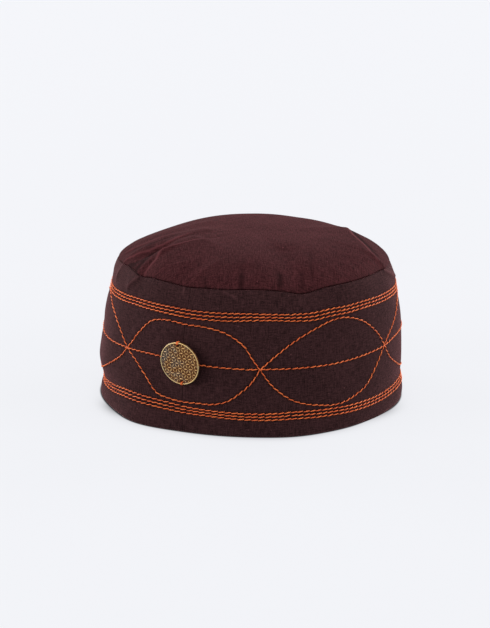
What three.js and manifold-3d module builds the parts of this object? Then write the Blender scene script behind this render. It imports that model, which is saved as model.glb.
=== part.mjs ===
// A round cloth cap without a brim: a side band that stands up like a short drum, a soft crown panel
// sewn to its upper edge and puffed up a little, and a brass disc sewn to the band at the front left.
// Millimetres, +Z up. The cap rests on the band's lower edge at z = 0, its front faces -Y and the
// origin is under the middle of the cap. Angles are in degrees round the cap, 0 at the front and
// positive towards +X.
import * as THREE from 'three';
import { mergeVertices } from 'three/addons/utils/BufferGeometryUtils.js';
import Module from 'manifold-3d';

const wasm = await Module();
wasm.setup();

// Driving dimensions of the cloth
const bandRadius = 94;
const bandHeight = 88;
const bandCloth = 2.4;
const crownCloth = 1.4;
const crownRise = 14.8;
const crownStep = 0.8;
const seamGap = 0.3;

// How the crown's profile bends: a high edge power keeps its top flat, a low shoulder power makes
// its edge steep, and a high hold power lets its folds run close to the seam.
const edgePower = 3.75;
const shoulderPower = 0.7;
const holdPower = 12;

// Driving dimensions of the disc
const discRadius = 13.5;
const discPlate = 0.9;
const discRimWidth = 0.9;
const discRimHeight = 0.35;
const discHoleRadius = 0.95;
const discHoleMargin = 0.2;
const discGap = 0.3;
const discAngle = -26.1;
const discHeight = 44.1;
const discFacing = -30.3;
const discDrop = 5.6;
const discLean = 4;

// The sewing holes lie just inside the rim.
const discHoleOffset = discRadius - discRimWidth - discHoleMargin - discHoleRadius;

// The ornament on the disc: petals between the points of a triangular grid
const gridStep = 3.8;
const petalHeight = 0.22;
const petalShare = 0.84;
const petalSink = 0.15;

// How finely the meshes are divided
const aroundSteps = 96;
const bandSteps = 10;
const crownSteps = 12;
const discSides = 48;
const holeSides = 16;
const petalArcSteps = 3;
const seatSteps = 4;

// Points of a mesh closer than this are one point
const mergeDistance = 1e-4;

// The band's outline. height is a share of the seam's height, the others are shares of bandRadius
// at the four sides.
const bandSections = [
  { height: 0.00, left: 1.006, front: 0.998, right: 1.003, back: 1.000 },
  { height: 0.06, left: 1.004, front: 1.004, right: 1.009, back: 1.002 },
  { height: 0.12, left: 0.994, front: 1.006, right: 1.002, back: 1.000 },
  { height: 0.18, left: 1.003, front: 1.004, right: 0.991, back: 1.000 },
  { height: 0.28, left: 1.016, front: 1.001, right: 0.996, back: 1.003 },
  { height: 0.40, left: 1.004, front: 0.998, right: 0.996, back: 0.999 },
  { height: 0.50, left: 0.989, front: 0.995, right: 0.993, back: 0.992 },
  { height: 0.60, left: 0.981, front: 0.984, right: 0.988, back: 0.984 },
  { height: 0.70, left: 0.964, front: 0.970, right: 0.975, back: 0.970 },
  { height: 0.80, left: 0.938, front: 0.953, right: 0.957, back: 0.957 },
  { height: 0.88, left: 0.924, front: 0.937, right: 0.944, back: 0.946 },
  { height: 0.94, left: 0.914, front: 0.921, right: 0.931, back: 0.937 },
  { height: 1.00, left: 0.892, front: 0.899, right: 0.908, back: 0.929 },
];

// Where the seam between band and crown rises or dips. angle and spread are degrees, lift is a
// share of bandHeight.
const seamWaves = [
  { angle: -66, spread: 9, lift: 0.010 },
  { angle: -53, spread: 3.5, lift: -0.016 },
  { angle: -28, spread: 6, lift: -0.008 },
  { angle: 0, spread: 11, lift: 0.010 },
  { angle: 21, spread: 7.5, lift: -0.030 },
  { angle: 125, spread: 32, lift: -0.045 },
  { angle: 180, spread: 32, lift: -0.030 },
  { angle: -125, spread: 32, lift: -0.080 },
];

// Creases in the band. Angles are degrees, heights are shares of the seam's height, spread and
// rise are shares of bandHeight.
const bandFolds = [
  { fromAngle: -53, fromHeight: 1.02, toAngle: -63, toHeight: 0.88, spread: 0.045, rise: 0.012 },
  { fromAngle: 73, fromHeight: 1.02, toAngle: 84, toHeight: 0.86, spread: 0.045, rise: 0.012 },
  { fromAngle: -10, fromHeight: 1.00, toAngle: -6, toHeight: 0.94, spread: 0.022, rise: 0.006 },
];

// Folds and dents of the crown, seen from above. x and y are shares of the crown's radius, left and
// right are the spreads on either hand, going from the first point to the second, as shares of the
// crown's radius, and rise is a share of crownRise.
const crownFolds = [
  { fromX: 0.70, fromY: 0.24, toX: 0.96, toY: -0.28, left: 0.09, right: 0.30, rise: 0.17 },
  { fromX: -0.82, fromY: -0.55, toX: -0.44, toY: -0.22, left: 0.05, right: 0.26, rise: 0.14 },
  { fromX: -0.88, fromY: -0.41, toX: -0.58, toY: -0.30, left: 0.08, right: 0.06, rise: -0.17 },
  { fromX: -0.94, fromY: -0.27, toX: -0.36, toY: 0.03, left: 0.06, right: 0.07, rise: 0.12 },
  { fromX: -0.95, fromY: -0.10, toX: -0.34, toY: 0.32, left: 0.07, right: 0.07, rise: 0.09 },
  { fromX: 0.24, fromY: -0.48, toX: 0.21, toY: -0.93, left: 0.10, right: 0.12, rise: -0.10 },
  { fromX: -0.06, fromY: -0.84, toX: -0.08, toY: -0.98, left: 0.06, right: 0.06, rise: -0.07 },
  { fromX: 0.42, fromY: 0.84, toX: 0.12, toY: 0.38, left: 0.12, right: 0.12, rise: -0.08 },
  { fromX: -0.38, fromY: 0.86, toX: -0.16, toY: 0.46, left: 0.12, right: 0.12, rise: -0.07 },
];

const degrees = Math.PI / 180;

// The difference between two angles in degrees, from -180 to 180
function turn(from, to) {
  return ((((to - from) % 360) + 540) % 360) - 180;
}

// A smooth curve through one column of a table of rows with rising heights
function throughRows(rows, column, height) {
  const last = rows.length - 1;
  const slope = (k) => {
    const before = rows[Math.max(k - 1, 0)];
    const after = rows[Math.min(k + 1, last)];
    return (after[column] - before[column]) / (after.height - before.height);
  };
  let k = 0;
  while (k < last - 1 && rows[k + 1].height <= height) k += 1;
  const span = rows[k + 1].height - rows[k].height;
  const s = (height - rows[k].height) / span;
  const s2 = s * s;
  const s3 = s2 * s;
  return (2 * s3 - 3 * s2 + 1) * rows[k][column]
    + (s3 - 2 * s2 + s) * span * slope(k)
    + (3 * s2 - 2 * s3) * rows[k + 1][column]
    + (s3 - s2) * span * slope(k + 1);
}

// How much of a fold's rise a point gets: all of it on the line between its ends, less to either
// hand. along and across are distances from its first end, with across positive to the left.
function foldShare(along, across, length, left, right) {
  const past = Math.max(-along, along - length, 0);
  const spread = across > 0 ? left : right;
  return Math.exp(-((across / spread) ** 2) - (past / Math.min(left, right)) ** 2);
}

function seamHeight(angle) {
  let share = 1;
  for (const wave of seamWaves) {
    share += wave.lift * Math.exp(-((turn(wave.angle, angle) / wave.spread) ** 2));
  }
  return bandHeight * share;
}

// How far the band's creases stand out at a place on it
function bandFoldRise(angle, height) {
  let rise = 0;
  for (const fold of bandFolds) {
    const runX = turn(fold.fromAngle, fold.toAngle) * degrees * bandRadius;
    const runY = (fold.toHeight - fold.fromHeight) * bandHeight;
    const x = turn(fold.fromAngle, angle) * degrees * bandRadius;
    const y = (height - fold.fromHeight) * bandHeight;
    const length = Math.hypot(runX, runY);
    const along = (x * runX + y * runY) / length;
    const across = (runX * y - runY * x) / length;
    const spread = fold.spread * bandHeight;
    rise += fold.rise * bandHeight * foldShare(along, across, length, spread, spread);
  }
  return rise;
}

// The band's outer radius. The four columns of a section are joined round the cap by cosines.
function bandOuterRadius(angle, height) {
  const [left, front, right, back] = ['left', 'front', 'right', 'back']
    .map((side) => throughRows(bandSections, side, height));
  const share = (left + front + right + back) / 4
    + ((front - back) / 2) * Math.cos(angle * degrees)
    + ((right - left) / 2) * Math.sin(angle * degrees)
    + ((front + back - left - right) / 4) * Math.cos(2 * angle * degrees);
  return bandRadius * share + bandFoldRise(angle, height);
}

function aroundAxis(angle, radius, z) {
  return new THREE.Vector3(radius * Math.sin(angle * degrees), -radius * Math.cos(angle * degrees), z);
}

function bandPoint(angle, height, inset) {
  return aroundAxis(angle, bandOuterRadius(angle, height) - inset, height * seamHeight(angle));
}

function crownFoldRise(x, y) {
  let rise = 0;
  for (const fold of crownFolds) {
    const runX = fold.toX - fold.fromX;
    const runY = fold.toY - fold.fromY;
    const length = Math.hypot(runX, runY);
    const along = ((x - fold.fromX) * runX + (y - fold.fromY) * runY) / length;
    const across = (runX * (y - fold.fromY) - runY * (x - fold.fromX)) / length;
    rise += fold.rise * foldShare(along, across, length, fold.left, fold.right);
  }
  return crownRise * rise;
}

// A point of the crown. out runs from 0 at the middle to 1 at the seam, and inset is 0 on its outer
// face and crownCloth on its inner face. Folds die out towards the seam, where the crown is held.
function crownPoint(angle, out, inset) {
  const radius = out * (bandOuterRadius(angle, 1) - crownStep - inset);
  const held = 1 - out ** holdPower;
  const puff = (crownRise - inset) * Math.max(1 - out ** edgePower, 0) ** shoulderPower;
  const foldX = out * Math.sin(angle * degrees);
  const foldY = -out * Math.cos(angle * degrees);
  const seam = bandHeight + (seamHeight(angle) - bandHeight) * out ** 2;
  return aroundAxis(angle, radius, seam + seamGap + puff + held * crownFoldRise(foldX, foldY));
}

function meshGeometry(points, triangles) {
  const geometry = new THREE.BufferGeometry();
  geometry.setFromPoints(points);
  geometry.setIndex(triangles.flat());
  geometry.computeVertexNormals();
  return geometry;
}

// A ring-shaped wall. section(angle) gives the points once round its cross-section, anticlockwise
// when seen with the outside on the right.
function ringGeometry(section) {
  const points = [];
  for (let i = 0; i < aroundSteps; i += 1) points.push(...section((i * 360) / aroundSteps));
  const count = points.length / aroundSteps;
  const triangles = [];
  for (let i = 0; i < aroundSteps; i += 1) {
    const here = i * count;
    const there = ((i + 1) % aroundSteps) * count;
    for (let j = 0; j < count; j += 1) {
      const k = (j + 1) % count;
      triangles.push([here + j, there + j, there + k], [here + j, there + k, here + k]);
    }
  }
  return meshGeometry(points, triangles);
}

// The same for a wall that closes over the middle: the section runs from the outer middle, over the
// edge, to the inner middle, and its two ends are one point each.
function domeGeometry(section) {
  const rows = [];
  for (let i = 0; i < aroundSteps; i += 1) rows.push(section((i * 360) / aroundSteps));
  const count = rows[0].length - 2;
  const points = [rows[0][0], rows[0][count + 1], ...rows.flatMap((row) => row.slice(1, -1))];
  const triangles = [];
  for (let i = 0; i < aroundSteps; i += 1) {
    const here = 2 + i * count;
    const there = 2 + ((i + 1) % aroundSteps) * count;
    triangles.push([0, here, there], [1, there + count - 1, here + count - 1]);
    for (let j = 0; j < count - 1; j += 1) {
      triangles.push([here + j, here + j + 1, there + j + 1], [here + j, there + j + 1, there + j]);
    }
  }
  return meshGeometry(points, triangles);
}

function makeBand() {
  const heights = Array.from({ length: bandSteps + 1 }, (_, j) => j / bandSteps);
  return ringGeometry((angle) => [
    ...heights.map((height) => bandPoint(angle, height, 0)),
    ...heights.toReversed().map((height) => bandPoint(angle, height, bandCloth)),
  ]);
}

// The rows of the crown lie closer together towards its steep edge.
function makeCrown() {
  const outs = Array.from({ length: crownSteps + 1 }, (_, j) => Math.sin((j / crownSteps) * Math.PI / 2));
  return domeGeometry((angle) => [
    ...outs.map((out) => crownPoint(angle, out, 0)),
    ...outs.toReversed().map((out) => crownPoint(angle, out, crownCloth)),
  ]);
}

function toSolid(geometry) {
  const bare = geometry.clone();
  bare.deleteAttribute('normal');
  bare.deleteAttribute('uv');
  const merged = mergeVertices(bare, mergeDistance);
  return new wasm.Manifold(new wasm.Mesh({
    numProp: 3,
    vertProperties: new Float32Array(merged.attributes.position.array),
    triVerts: new Uint32Array(merged.index.array),
  }));
}

function toGeometry(solid) {
  const mesh = solid.getMesh();
  const geometry = new THREE.BufferGeometry();
  geometry.setAttribute('position', new THREE.BufferAttribute(mesh.vertProperties, 3));
  geometry.setIndex(new THREE.BufferAttribute(mesh.triVerts, 1));
  geometry.computeVertexNormals();
  return geometry;
}

// The plate with its raised rim, lying on z = 0 with its face up
function makePlate() {
  const rimTop = discPlate + discRimHeight;
  const rimInside = discRadius - discRimWidth;
  const chamfer = discRimHeight / 2;
  const profile = [
    [0, 0], [discRadius - chamfer, 0], [discRadius, chamfer], [discRadius, rimTop - chamfer],
    [discRadius - chamfer, rimTop], [rimInside, rimTop], [rimInside, discPlate], [0, discPlate],
  ].map(([x, y]) => new THREE.Vector2(x, y));
  return new THREE.LatheGeometry(profile, discSides).rotateX(Math.PI / 2);
}

function makeHole(y) {
  const depth = 2 * (discPlate + discRimHeight);
  return new THREE.CylinderGeometry(discHoleRadius, discHoleRadius, depth, holeSides)
    .rotateX(Math.PI / 2)
    .translate(0, y, discPlate / 2);
}

// One petal between two grid points: the lens that two circles of radius gridStep share
function makePetal(middle, direction) {
  const half = gridStep / 2;
  const sagitta = gridStep - Math.sqrt(gridStep ** 2 - half ** 2);
  const outline = new THREE.Shape();
  const edge = (side) => Array.from({ length: petalArcSteps }, (_, k) => {
    const x = side * half * ((2 * k) / petalArcSteps - 1);
    return [x, side * (Math.sqrt(gridStep ** 2 - x ** 2) - gridStep + sagitta)];
  });
  const corners = [...edge(-1), ...edge(1)].map(([x, y]) => new THREE.Vector2(x, y));
  outline.setFromPoints(corners.map((corner) => corner.multiplyScalar(petalShare)));
  const depth = petalHeight + petalSink;
  return new THREE.ExtrudeGeometry(outline, { depth, bevelEnabled: false })
    .rotateZ(direction)
    .translate(middle.x, middle.y, discPlate - petalSink);
}

// The petals' middles and directions: every edge between neighbouring grid points, apart from those
// that a hole or the rim would cut
function petalPlaces() {
  const rowStep = gridStep * Math.sin(60 * degrees);
  const point = (i, j) => new THREE.Vector2(gridStep * (i + j / 2), rowStep * j);
  const rings = Math.ceil(discRadius / rowStep);
  const clear = discHoleRadius + gridStep * petalShare / 2;
  const places = [];
  for (let i = -rings; i <= rings; i += 1) {
    for (let j = -rings; j <= rings; j += 1) {
      for (const [di, dj] of [[1, 0], [0, 1], [-1, 1]]) {
        const middle = point(i, j).add(point(i + di, j + dj)).multiplyScalar(0.5);
        const holeDistance = Math.hypot(middle.x, Math.abs(middle.y) - discHoleOffset);
        const reach = Math.hypot(middle.x, middle.y) + gridStep / 4;
        if (holeDistance < clear || reach > discRadius - discRimWidth) continue;
        places.push({ middle, direction: point(di, dj).angle() });
      }
    }
  }
  return places;
}

function makeDisc() {
  let solid = toSolid(makePlate());
  for (const { middle, direction } of petalPlaces()) {
    solid = solid.add(toSolid(makePetal(middle, direction)));
  }
  for (const y of [-discHoleOffset, discHoleOffset]) {
    solid = solid.subtract(toSolid(makeHole(y)));
  }
  return toGeometry(solid);
}

// The disc hangs on its threads against the band and faces a little to the left and down, by
// discFacing and discDrop in degrees. Its back is as far out as the band reaches under it, and a
// small gap further.
function placeDisc(mesh) {
  const middleHeight = discHeight / seamHeight(discAngle);
  const reachAngle = discRadius / bandRadius / degrees;
  const reachHeight = discRadius / bandHeight;
  const drop = discDrop * degrees;
  const outward = aroundAxis(discFacing, Math.cos(drop), -Math.sin(drop));
  const along = aroundAxis(discFacing + 90, 1, 0);
  const up = new THREE.Vector3().crossVectors(outward, along);
  const middle = bandPoint(discAngle, middleHeight, 0);
  let reach = 0;
  for (let i = -seatSteps; i <= seatSteps; i += 1) {
    for (let j = -seatSteps; j <= seatSteps; j += 1) {
      const angle = discAngle + (i * reachAngle) / seatSteps;
      const height = middleHeight + (j * reachHeight) / seatSteps;
      reach = Math.max(reach, bandPoint(angle, height, 0).sub(middle).dot(outward));
    }
  }
  mesh.quaternion.setFromRotationMatrix(new THREE.Matrix4().makeBasis(along, up, outward));
  mesh.rotateZ(discLean * degrees);
  mesh.position.copy(middle).addScaledVector(outward, reach + discGap);
}

const bandCotton = new THREE.MeshStandardMaterial({ color: 0x3a2527, roughness: 0.9, metalness: 0 });
const crownCotton = new THREE.MeshStandardMaterial({ color: 0x4b2a2d, roughness: 0.9, metalness: 0 });
const agedBrass = new THREE.MeshStandardMaterial({ color: 0xa58a4e, roughness: 0.45, metalness: 0.85 });

const band = new THREE.Mesh(makeBand(), bandCotton);
band.name = 'band';
const crown = new THREE.Mesh(makeCrown(), crownCotton);
crown.name = 'crown';
const disc = new THREE.Mesh(makeDisc(), agedBrass);
disc.name = 'disc';
placeDisc(disc);

const cap = new THREE.Group();
cap.add(band, crown, disc);

export default cap;
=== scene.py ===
"""A soft round cap without a brim: a stitched side band, a puffed crown and a brass disc.

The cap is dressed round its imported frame. Lengths are metres. Angles go round the cap in degrees,
0 at the front (-Y) and positive towards +X. Heights are above the band's lower edge.
"""
import math

import bpy
import numpy as np
from bpy.props import FloatProperty, FloatVectorProperty, IntProperty, PointerProperty
from bpy.types import Operator, Panel, PropertyGroup
from mathutils import Matrix, Vector


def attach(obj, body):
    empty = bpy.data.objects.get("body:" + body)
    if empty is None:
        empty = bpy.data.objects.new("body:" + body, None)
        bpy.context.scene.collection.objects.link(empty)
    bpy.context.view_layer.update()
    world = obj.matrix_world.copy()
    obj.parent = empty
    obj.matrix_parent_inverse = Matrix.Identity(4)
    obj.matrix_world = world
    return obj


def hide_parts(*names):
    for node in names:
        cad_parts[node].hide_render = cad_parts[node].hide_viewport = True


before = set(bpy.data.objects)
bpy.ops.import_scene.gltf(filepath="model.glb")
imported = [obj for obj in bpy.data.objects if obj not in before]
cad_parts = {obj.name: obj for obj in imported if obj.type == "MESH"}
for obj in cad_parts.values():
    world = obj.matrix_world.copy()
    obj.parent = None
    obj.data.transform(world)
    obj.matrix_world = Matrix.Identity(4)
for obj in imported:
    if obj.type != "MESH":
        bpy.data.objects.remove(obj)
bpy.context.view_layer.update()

bl_info = {
    "name": "Embroidered Cap",
    "version": (1, 0, 0),
    "blender": (4, 5, 0),
    "location": "3D View > Sidebar > Cap",
    "description": "Builds a soft round cap with an embroidered band, piece by piece",
    "category": "Object",
}

MM = 0.001
BODY = "root"


def table(names, rows):
    """A dict of columns, each a numpy array, from a line of column names and rows of numbers."""
    return dict(zip(names.split(), np.array(rows, float).T))


# The band's outline. height is a share of the seam's height, the others are shares of the band's
# radius at the four sides.
BAND_SECTIONS = table("height left front right back", [
    (0.00, 1.006, 0.998, 1.003, 1.000),
    (0.06, 1.004, 1.004, 1.009, 1.002),
    (0.12, 0.994, 1.006, 1.002, 1.000),
    (0.18, 1.003, 1.004, 0.991, 1.000),
    (0.28, 1.016, 1.001, 0.996, 1.003),
    (0.40, 1.004, 0.998, 0.996, 0.999),
    (0.50, 0.989, 0.995, 0.993, 0.992),
    (0.60, 0.981, 0.984, 0.988, 0.984),
    (0.70, 0.964, 0.970, 0.975, 0.970),
    (0.80, 0.938, 0.953, 0.957, 0.957),
    (0.88, 0.924, 0.937, 0.944, 0.946),
    (0.94, 0.914, 0.921, 0.931, 0.937),
    (1.00, 0.892, 0.899, 0.908, 0.929),
])

# Where the seam between band and crown rises or dips. lift is a share of the band's height.
SEAM_WAVES = table("angle spread lift", [
    (-66, 9, 0.010),
    (-53, 3.5, -0.016),
    (-28, 6, -0.008),
    (0, 11, 0.010),
    (21, 7.5, -0.030),
    (90, 15, -0.018),
    (125, 32, -0.045),
    (180, 32, -0.030),
    (-125, 32, -0.080),
])

# Creases in the band: lines through points, each an angle and a share of the seam's height. left and
# right are the spreads on either hand and rise is the height, all shares of the band's height. tone
# is how much lighter the cloth is painted there, a painted highlight on the crease's ridge, or how
# much darker, a painted shade, where it is negative.
BAND_CREASES = (
    # left, right, rise, tone, points
    (0.015, 0.060, 0.016, 0.7, ((-54, 1.03), (-55.5, 0.985), (-58, 0.94), (-60.5, 0.89), (-61.5, 0.84))),
    (0.030, 0.030, 0.010, 0.5, ((-70, 1.04), (-72, 0.97), (-74, 0.90), (-75, 0.84))),
    (0.012, 0.022, 0.009, 0.6, ((-13, 1.0), (-10.5, 0.985), (-7.5, 0.965), (-6, 0.94), (-5.5, 0.90))),
    (0.005, 0.005, 0.003, 0.7, ((-29, 1.03), (-29, 0.98), (-29, 0.93))),
    (0.030, 0.015, 0.014, 1.5, ((66, 1.06), (71, 1.0), (76, 0.96), (83, 0.92), (92, 0.88))),
)

# Soft folds and dents of the crown, seen from above. x and y are shares of the crown's radius, left
# and right are the spreads on either hand, and rise is a share of the crown's rise.
CROWN_FOLDS = table("from_x from_y to_x to_y left right rise", [
    (0.70, 0.24, 0.96, -0.28, 0.09, 0.30, 0.12),
    (-0.82, -0.55, -0.44, -0.22, 0.05, 0.26, 0.08),
    (-0.88, -0.41, -0.66, -0.34, 0.07, 0.06, -0.13),
    (-0.86, -0.30, -0.36, 0.03, 0.06, 0.07, 0.07),
    (-0.86, -0.08, -0.34, 0.32, 0.07, 0.07, 0.05),
    (0.24, -0.48, 0.21, -0.93, 0.10, 0.12, -0.10),
    (-0.06, -0.84, -0.08, -0.98, 0.06, 0.06, -0.07),
    (0.42, 0.84, 0.12, 0.38, 0.12, 0.12, -0.03),
])

# Sharp ridges and valleys of the crown: the columns of the band's creases, with points and spreads as
# shares of the crown's radius and rises as shares of its rise
CROWN_CREASES = (
    (0.016, 0.080, 0.110, 0.8, ((-0.88, -0.68), (-0.78, -0.60), (-0.71, -0.54), (-0.66, -0.43),
                                (-0.55, -0.39), (-0.37, -0.30), (-0.22, -0.20))),
    (0.050, 0.018, 0.080, 0.8, ((-1.02, -0.27), (-0.88, -0.34), (-0.77, -0.34), (-0.68, -0.30),
                                (-0.60, -0.26), (-0.51, -0.16), (-0.38, 0.00))),
    (0.030, 0.022, 0.045, 0.7, ((-1.00, -0.16), (-0.79, -0.175), (-0.65, -0.115), (-0.50, 0.00))),
    (0.040, 0.040, -0.065, -1.6, ((-0.97, -0.38), (-0.87, -0.45), (-0.80, -0.44), (-0.74, -0.39),
                                  (-0.67, -0.32))),
    (0.025, 0.025, -0.030, -1.1, ((-0.90, -0.54), (-0.82, -0.51), (-0.77, -0.46), (-0.71, -0.37))),
    (0.030, 0.030, -0.025, -0.6, ((-1.00, -0.20), (-0.75, -0.25), (-0.60, -0.16), (-0.46, 0.02))),
    (0.025, 0.070, 0.030, 0.25, ((-0.76, -0.72), (-0.62, -0.66), (-0.54, -0.67), (-0.38, -0.64))),
    (0.025, 0.070, 0.030, 0.22, ((-0.46, -0.90), (-0.37, -0.80), (-0.30, -0.75), (-0.18, -0.64))),
    (0.030, 0.030, -0.022, -0.6, ((-0.34, -1.00), (-0.34, -0.92), (-0.34, -0.82))),
    (0.020, 0.030, -0.032, -0.8, ((-0.08, -1.06), (-0.08, -0.93), (-0.075, -0.82))),
    (0.016, 0.090, 0.060, 1.5, ((0.62, 0.56), (0.67, 0.36), (0.705, 0.19), (0.73, 0.05), (0.78, -0.085),
                                (0.845, -0.25), (0.90, -0.33), (1.00, -0.40))),
    (0.060, 0.020, -0.035, -1.3, ((0.71, 0.34), (0.755, 0.10), (0.805, -0.045), (0.87, -0.20),
                                  (0.97, -0.33))),
    (0.025, 0.030, -0.032, -0.8, ((0.19, -1.00), (0.20, -0.86), (0.17, -0.76))),
    (0.040, 0.040, -0.028, -0.5, ((0.43, -0.92), (0.42, -0.60), (0.40, -0.36))),
    (0.020, 0.030, -0.020, -0.6, ((0.36, -0.96), (0.355, -0.84), (0.35, -0.72))),
    (0.040, 0.040, 0.020, 0.3, ((0.29, -0.96), (0.30, -0.80), (0.30, -0.56))),
)

# How wide the line of painted highlight or shade on a crease is, as a share of the crown's radius and of
# the band's height
CROWN_LINE = 0.011
BAND_LINE = 0.009

# Slow swells of the band's cloth: turns round the cap, half waves up it, phase in degrees and rise
BAND_SWELLS = table("turns climbs phase rise", [
    (5, 1, 20, 0.22 * MM),
    (9, 2, 75, 0.16 * MM),
    (14, 1, 200, 0.10 * MM),
    (23, 3, 310, 0.07 * MM),
])

# Where the cloth stands out a little or lies back: along the hem, at the lower rings on the left, and
# behind the disc's upper edge. spread is degrees, climb and rise are lengths.
BAND_BULGES = table("angle height spread climb rise", [
    (-46, 0 * MM, 14, 17 * MM, 4.1 * MM),
    (-88, 13.5 * MM, 15, 6 * MM, -1.3 * MM),
    (16, 0 * MM, 12, 10 * MM, 1.8 * MM),
    (55, 0 * MM, 13, 12 * MM, -2.0 * MM),
    (-28, 61 * MM, 10, 13 * MM, 2.3 * MM),
])

# The stitched rings, in millimetres up a band of CHART_HEIGHT: the middle row of the lower triple,
# the single row, and the middle row of the upper triple, and how far apart the triples' rows are
CHART_HEIGHT = 88 * MM
RINGS = table("angle lower single upper lower_step upper_step", [
    (-170, 12.6, 43.2, 70.4, 2.0, 2.0),
    (-125, 11.6, 42.8, 68.6, 2.1, 2.0),
    (-90, 11.6, 42.2, 69.6, 2.2, 1.9),
    (-78, 12.0, 42.0, 70.1, 2.3, 1.9),
    (-70, 12.7, 42.3, 70.7, 2.35, 1.9),
    (-62, 13.7, 42.9, 71.4, 2.35, 1.9),
    (-54, 15.35, 43.5, 72.2, 2.35, 1.9),
    (-40, 15.55, 44.6, 72.8, 2.25, 1.95),
    (-32, 15.0, 44.2, 73.0, 2.2, 2.0),
    (-24, 14.2, 43.7, 72.8, 1.95, 2.05),
    (-16, 13.8, 43.0, 72.8, 1.75, 2.15),
    (-8, 13.3, 42.6, 73.1, 1.8, 2.2),
    (0, 13.0, 42.4, 73.6, 1.85, 1.95),
    (8, 13.0, 42.6, 73.4, 1.9, 1.75),
    (16, 13.2, 42.4, 72.6, 2.0, 1.9),
    (24, 12.8, 42.4, 72.3, 2.0, 2.1),
    (32, 12.5, 42.5, 73.45, 1.9, 2.05),
    (40, 12.1, 42.8, 73.5, 1.95, 2.0),
    (50, 11.9, 43.6, 73.8, 1.95, 1.95),
    (60, 12.05, 44.5, 73.2, 1.9, 1.95),
    (70, 12.7, 46.0, 72.7, 1.9, 1.95),
    (80, 13.1, 46.3, 71.9, 1.9, 1.95),
    (120, 13.0, 44.2, 70.6, 2.0, 2.0),
    (160, 12.8, 43.5, 71.0, 2.0, 2.0),
])
ROW_STEP = 2.0 * MM

# Where the two waves cross on the single row, and which shape the lens to the right has
CROSSINGS = table("angle height", [
    (-54.0, 43.6),
    (3.2, 42.3),
    (60.0, 44.9),
    (121.5, 43.9),
    (183.0, 43.3),
    (244.5, 42.8),
])
LENS_SHAPES = ("left", "right", "side", "side", "side", "side")

# How far the two waves stand above and below the crossings' line, in millimetres, by the share of
# the way from one crossing to the next
LENSES = table("share left_over left_under right_over right_under side_over side_under", [
    (0.00, 0.0, 0.0, 0.0, 0.0, 0.0, 0.0),
    (0.05, 4.9, -2.7, 4.0, -6.9, 4.2, -6.6),
    (0.10, 11.0, -5.3, 7.8, -12.3, 6.9, -11.0),
    (0.20, 20.3, -12.7, 14.2, -19.6, 12.4, -16.4),
    (0.30, 23.4, -21.2, 18.8, -23.4, 18.6, -20.8),
    (0.40, 24.2, -23.3, 22.3, -25.5, 22.6, -23.0),
    (0.50, 23.7, -23.9, 24.9, -27.0, 24.2, -24.5),
    (0.60, 23.6, -23.5, 25.3, -26.7, 23.2, -23.2),
    (0.70, 22.5, -23.1, 23.1, -24.4, 20.1, -19.9),
    (0.80, 19.7, -20.1, 18.8, -20.6, 15.7, -15.2),
    (0.90, 13.3, -12.8, 11.5, -10.9, 9.1, -9.5),
    (0.95, 6.3, -7.8, 6.4, -5.2, 4.5, -5.8),
    (1.00, 0.0, 0.0, 0.0, 0.0, 0.0, 0.0),
])

# The crown's profile: a high edge power keeps the top flat, a low shoulder power makes the edge
# steep, and a high hold power lets its folds run close to the seam.
EDGE_POWER = 3.75
SHOULDER_POWER = 0.7
HOLD_POWER = 12

# How far the crown's edge lies inside the band's outer face and above the seam, and the share of
# the first that is left where the seam doesn't show
CROWN_STEP = 0.8 * MM
SEAM_GAP = 0.3 * MM
LEAST_STEP = 0.2

# The upright join of the band's cloth, at the front left
JOIN_ANGLE = -25.7

# The disc: where it is and how it is turned, in degrees, its plate, rim and holes, the grid and the
# petals of its ornament, and how its relief and the start of its bluish side are told to its colour
DISC_ANGLE = -26.1
DISC_HEIGHT = 44.1 * MM
DISC_FACING = -30.3
DISC_DROP = 5.6
DISC_LEAN = 4.0
DISC_PLATE = 0.9 * MM
DISC_RIM_WIDTH = 0.9 * MM
DISC_RIM_HEIGHT = 0.35 * MM
DISC_HOLE_RADIUS = 0.95 * MM
DISC_HOLE_MARGIN = 0.2 * MM
DISC_GAP = 0.3 * MM
DISC_EDGE_FALL = 0.35
GRID_STEP = 3.8 * MM
PETAL_HEIGHT = 0.2 * MM
PETAL_STEEPNESS = 1.5
PETAL_THINNING = 0.38
PETAL_FADE = 0.5 * MM
HOLE_FADE = 0.4 * MM
PETAL_RELIEF = 0.9
RIM_RELIEF = 1.1
COOL_START = 0.55


def srgb(red, green, blue):
    """A linear colour from three 8-bit display values."""
    share = np.array([red, green, blue]) / 255
    return tuple(np.where(share <= 0.04045, share / 12.92, ((share + 0.055) / 1.055) ** 2.4))


# Sizes and colours that a user would change


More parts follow.
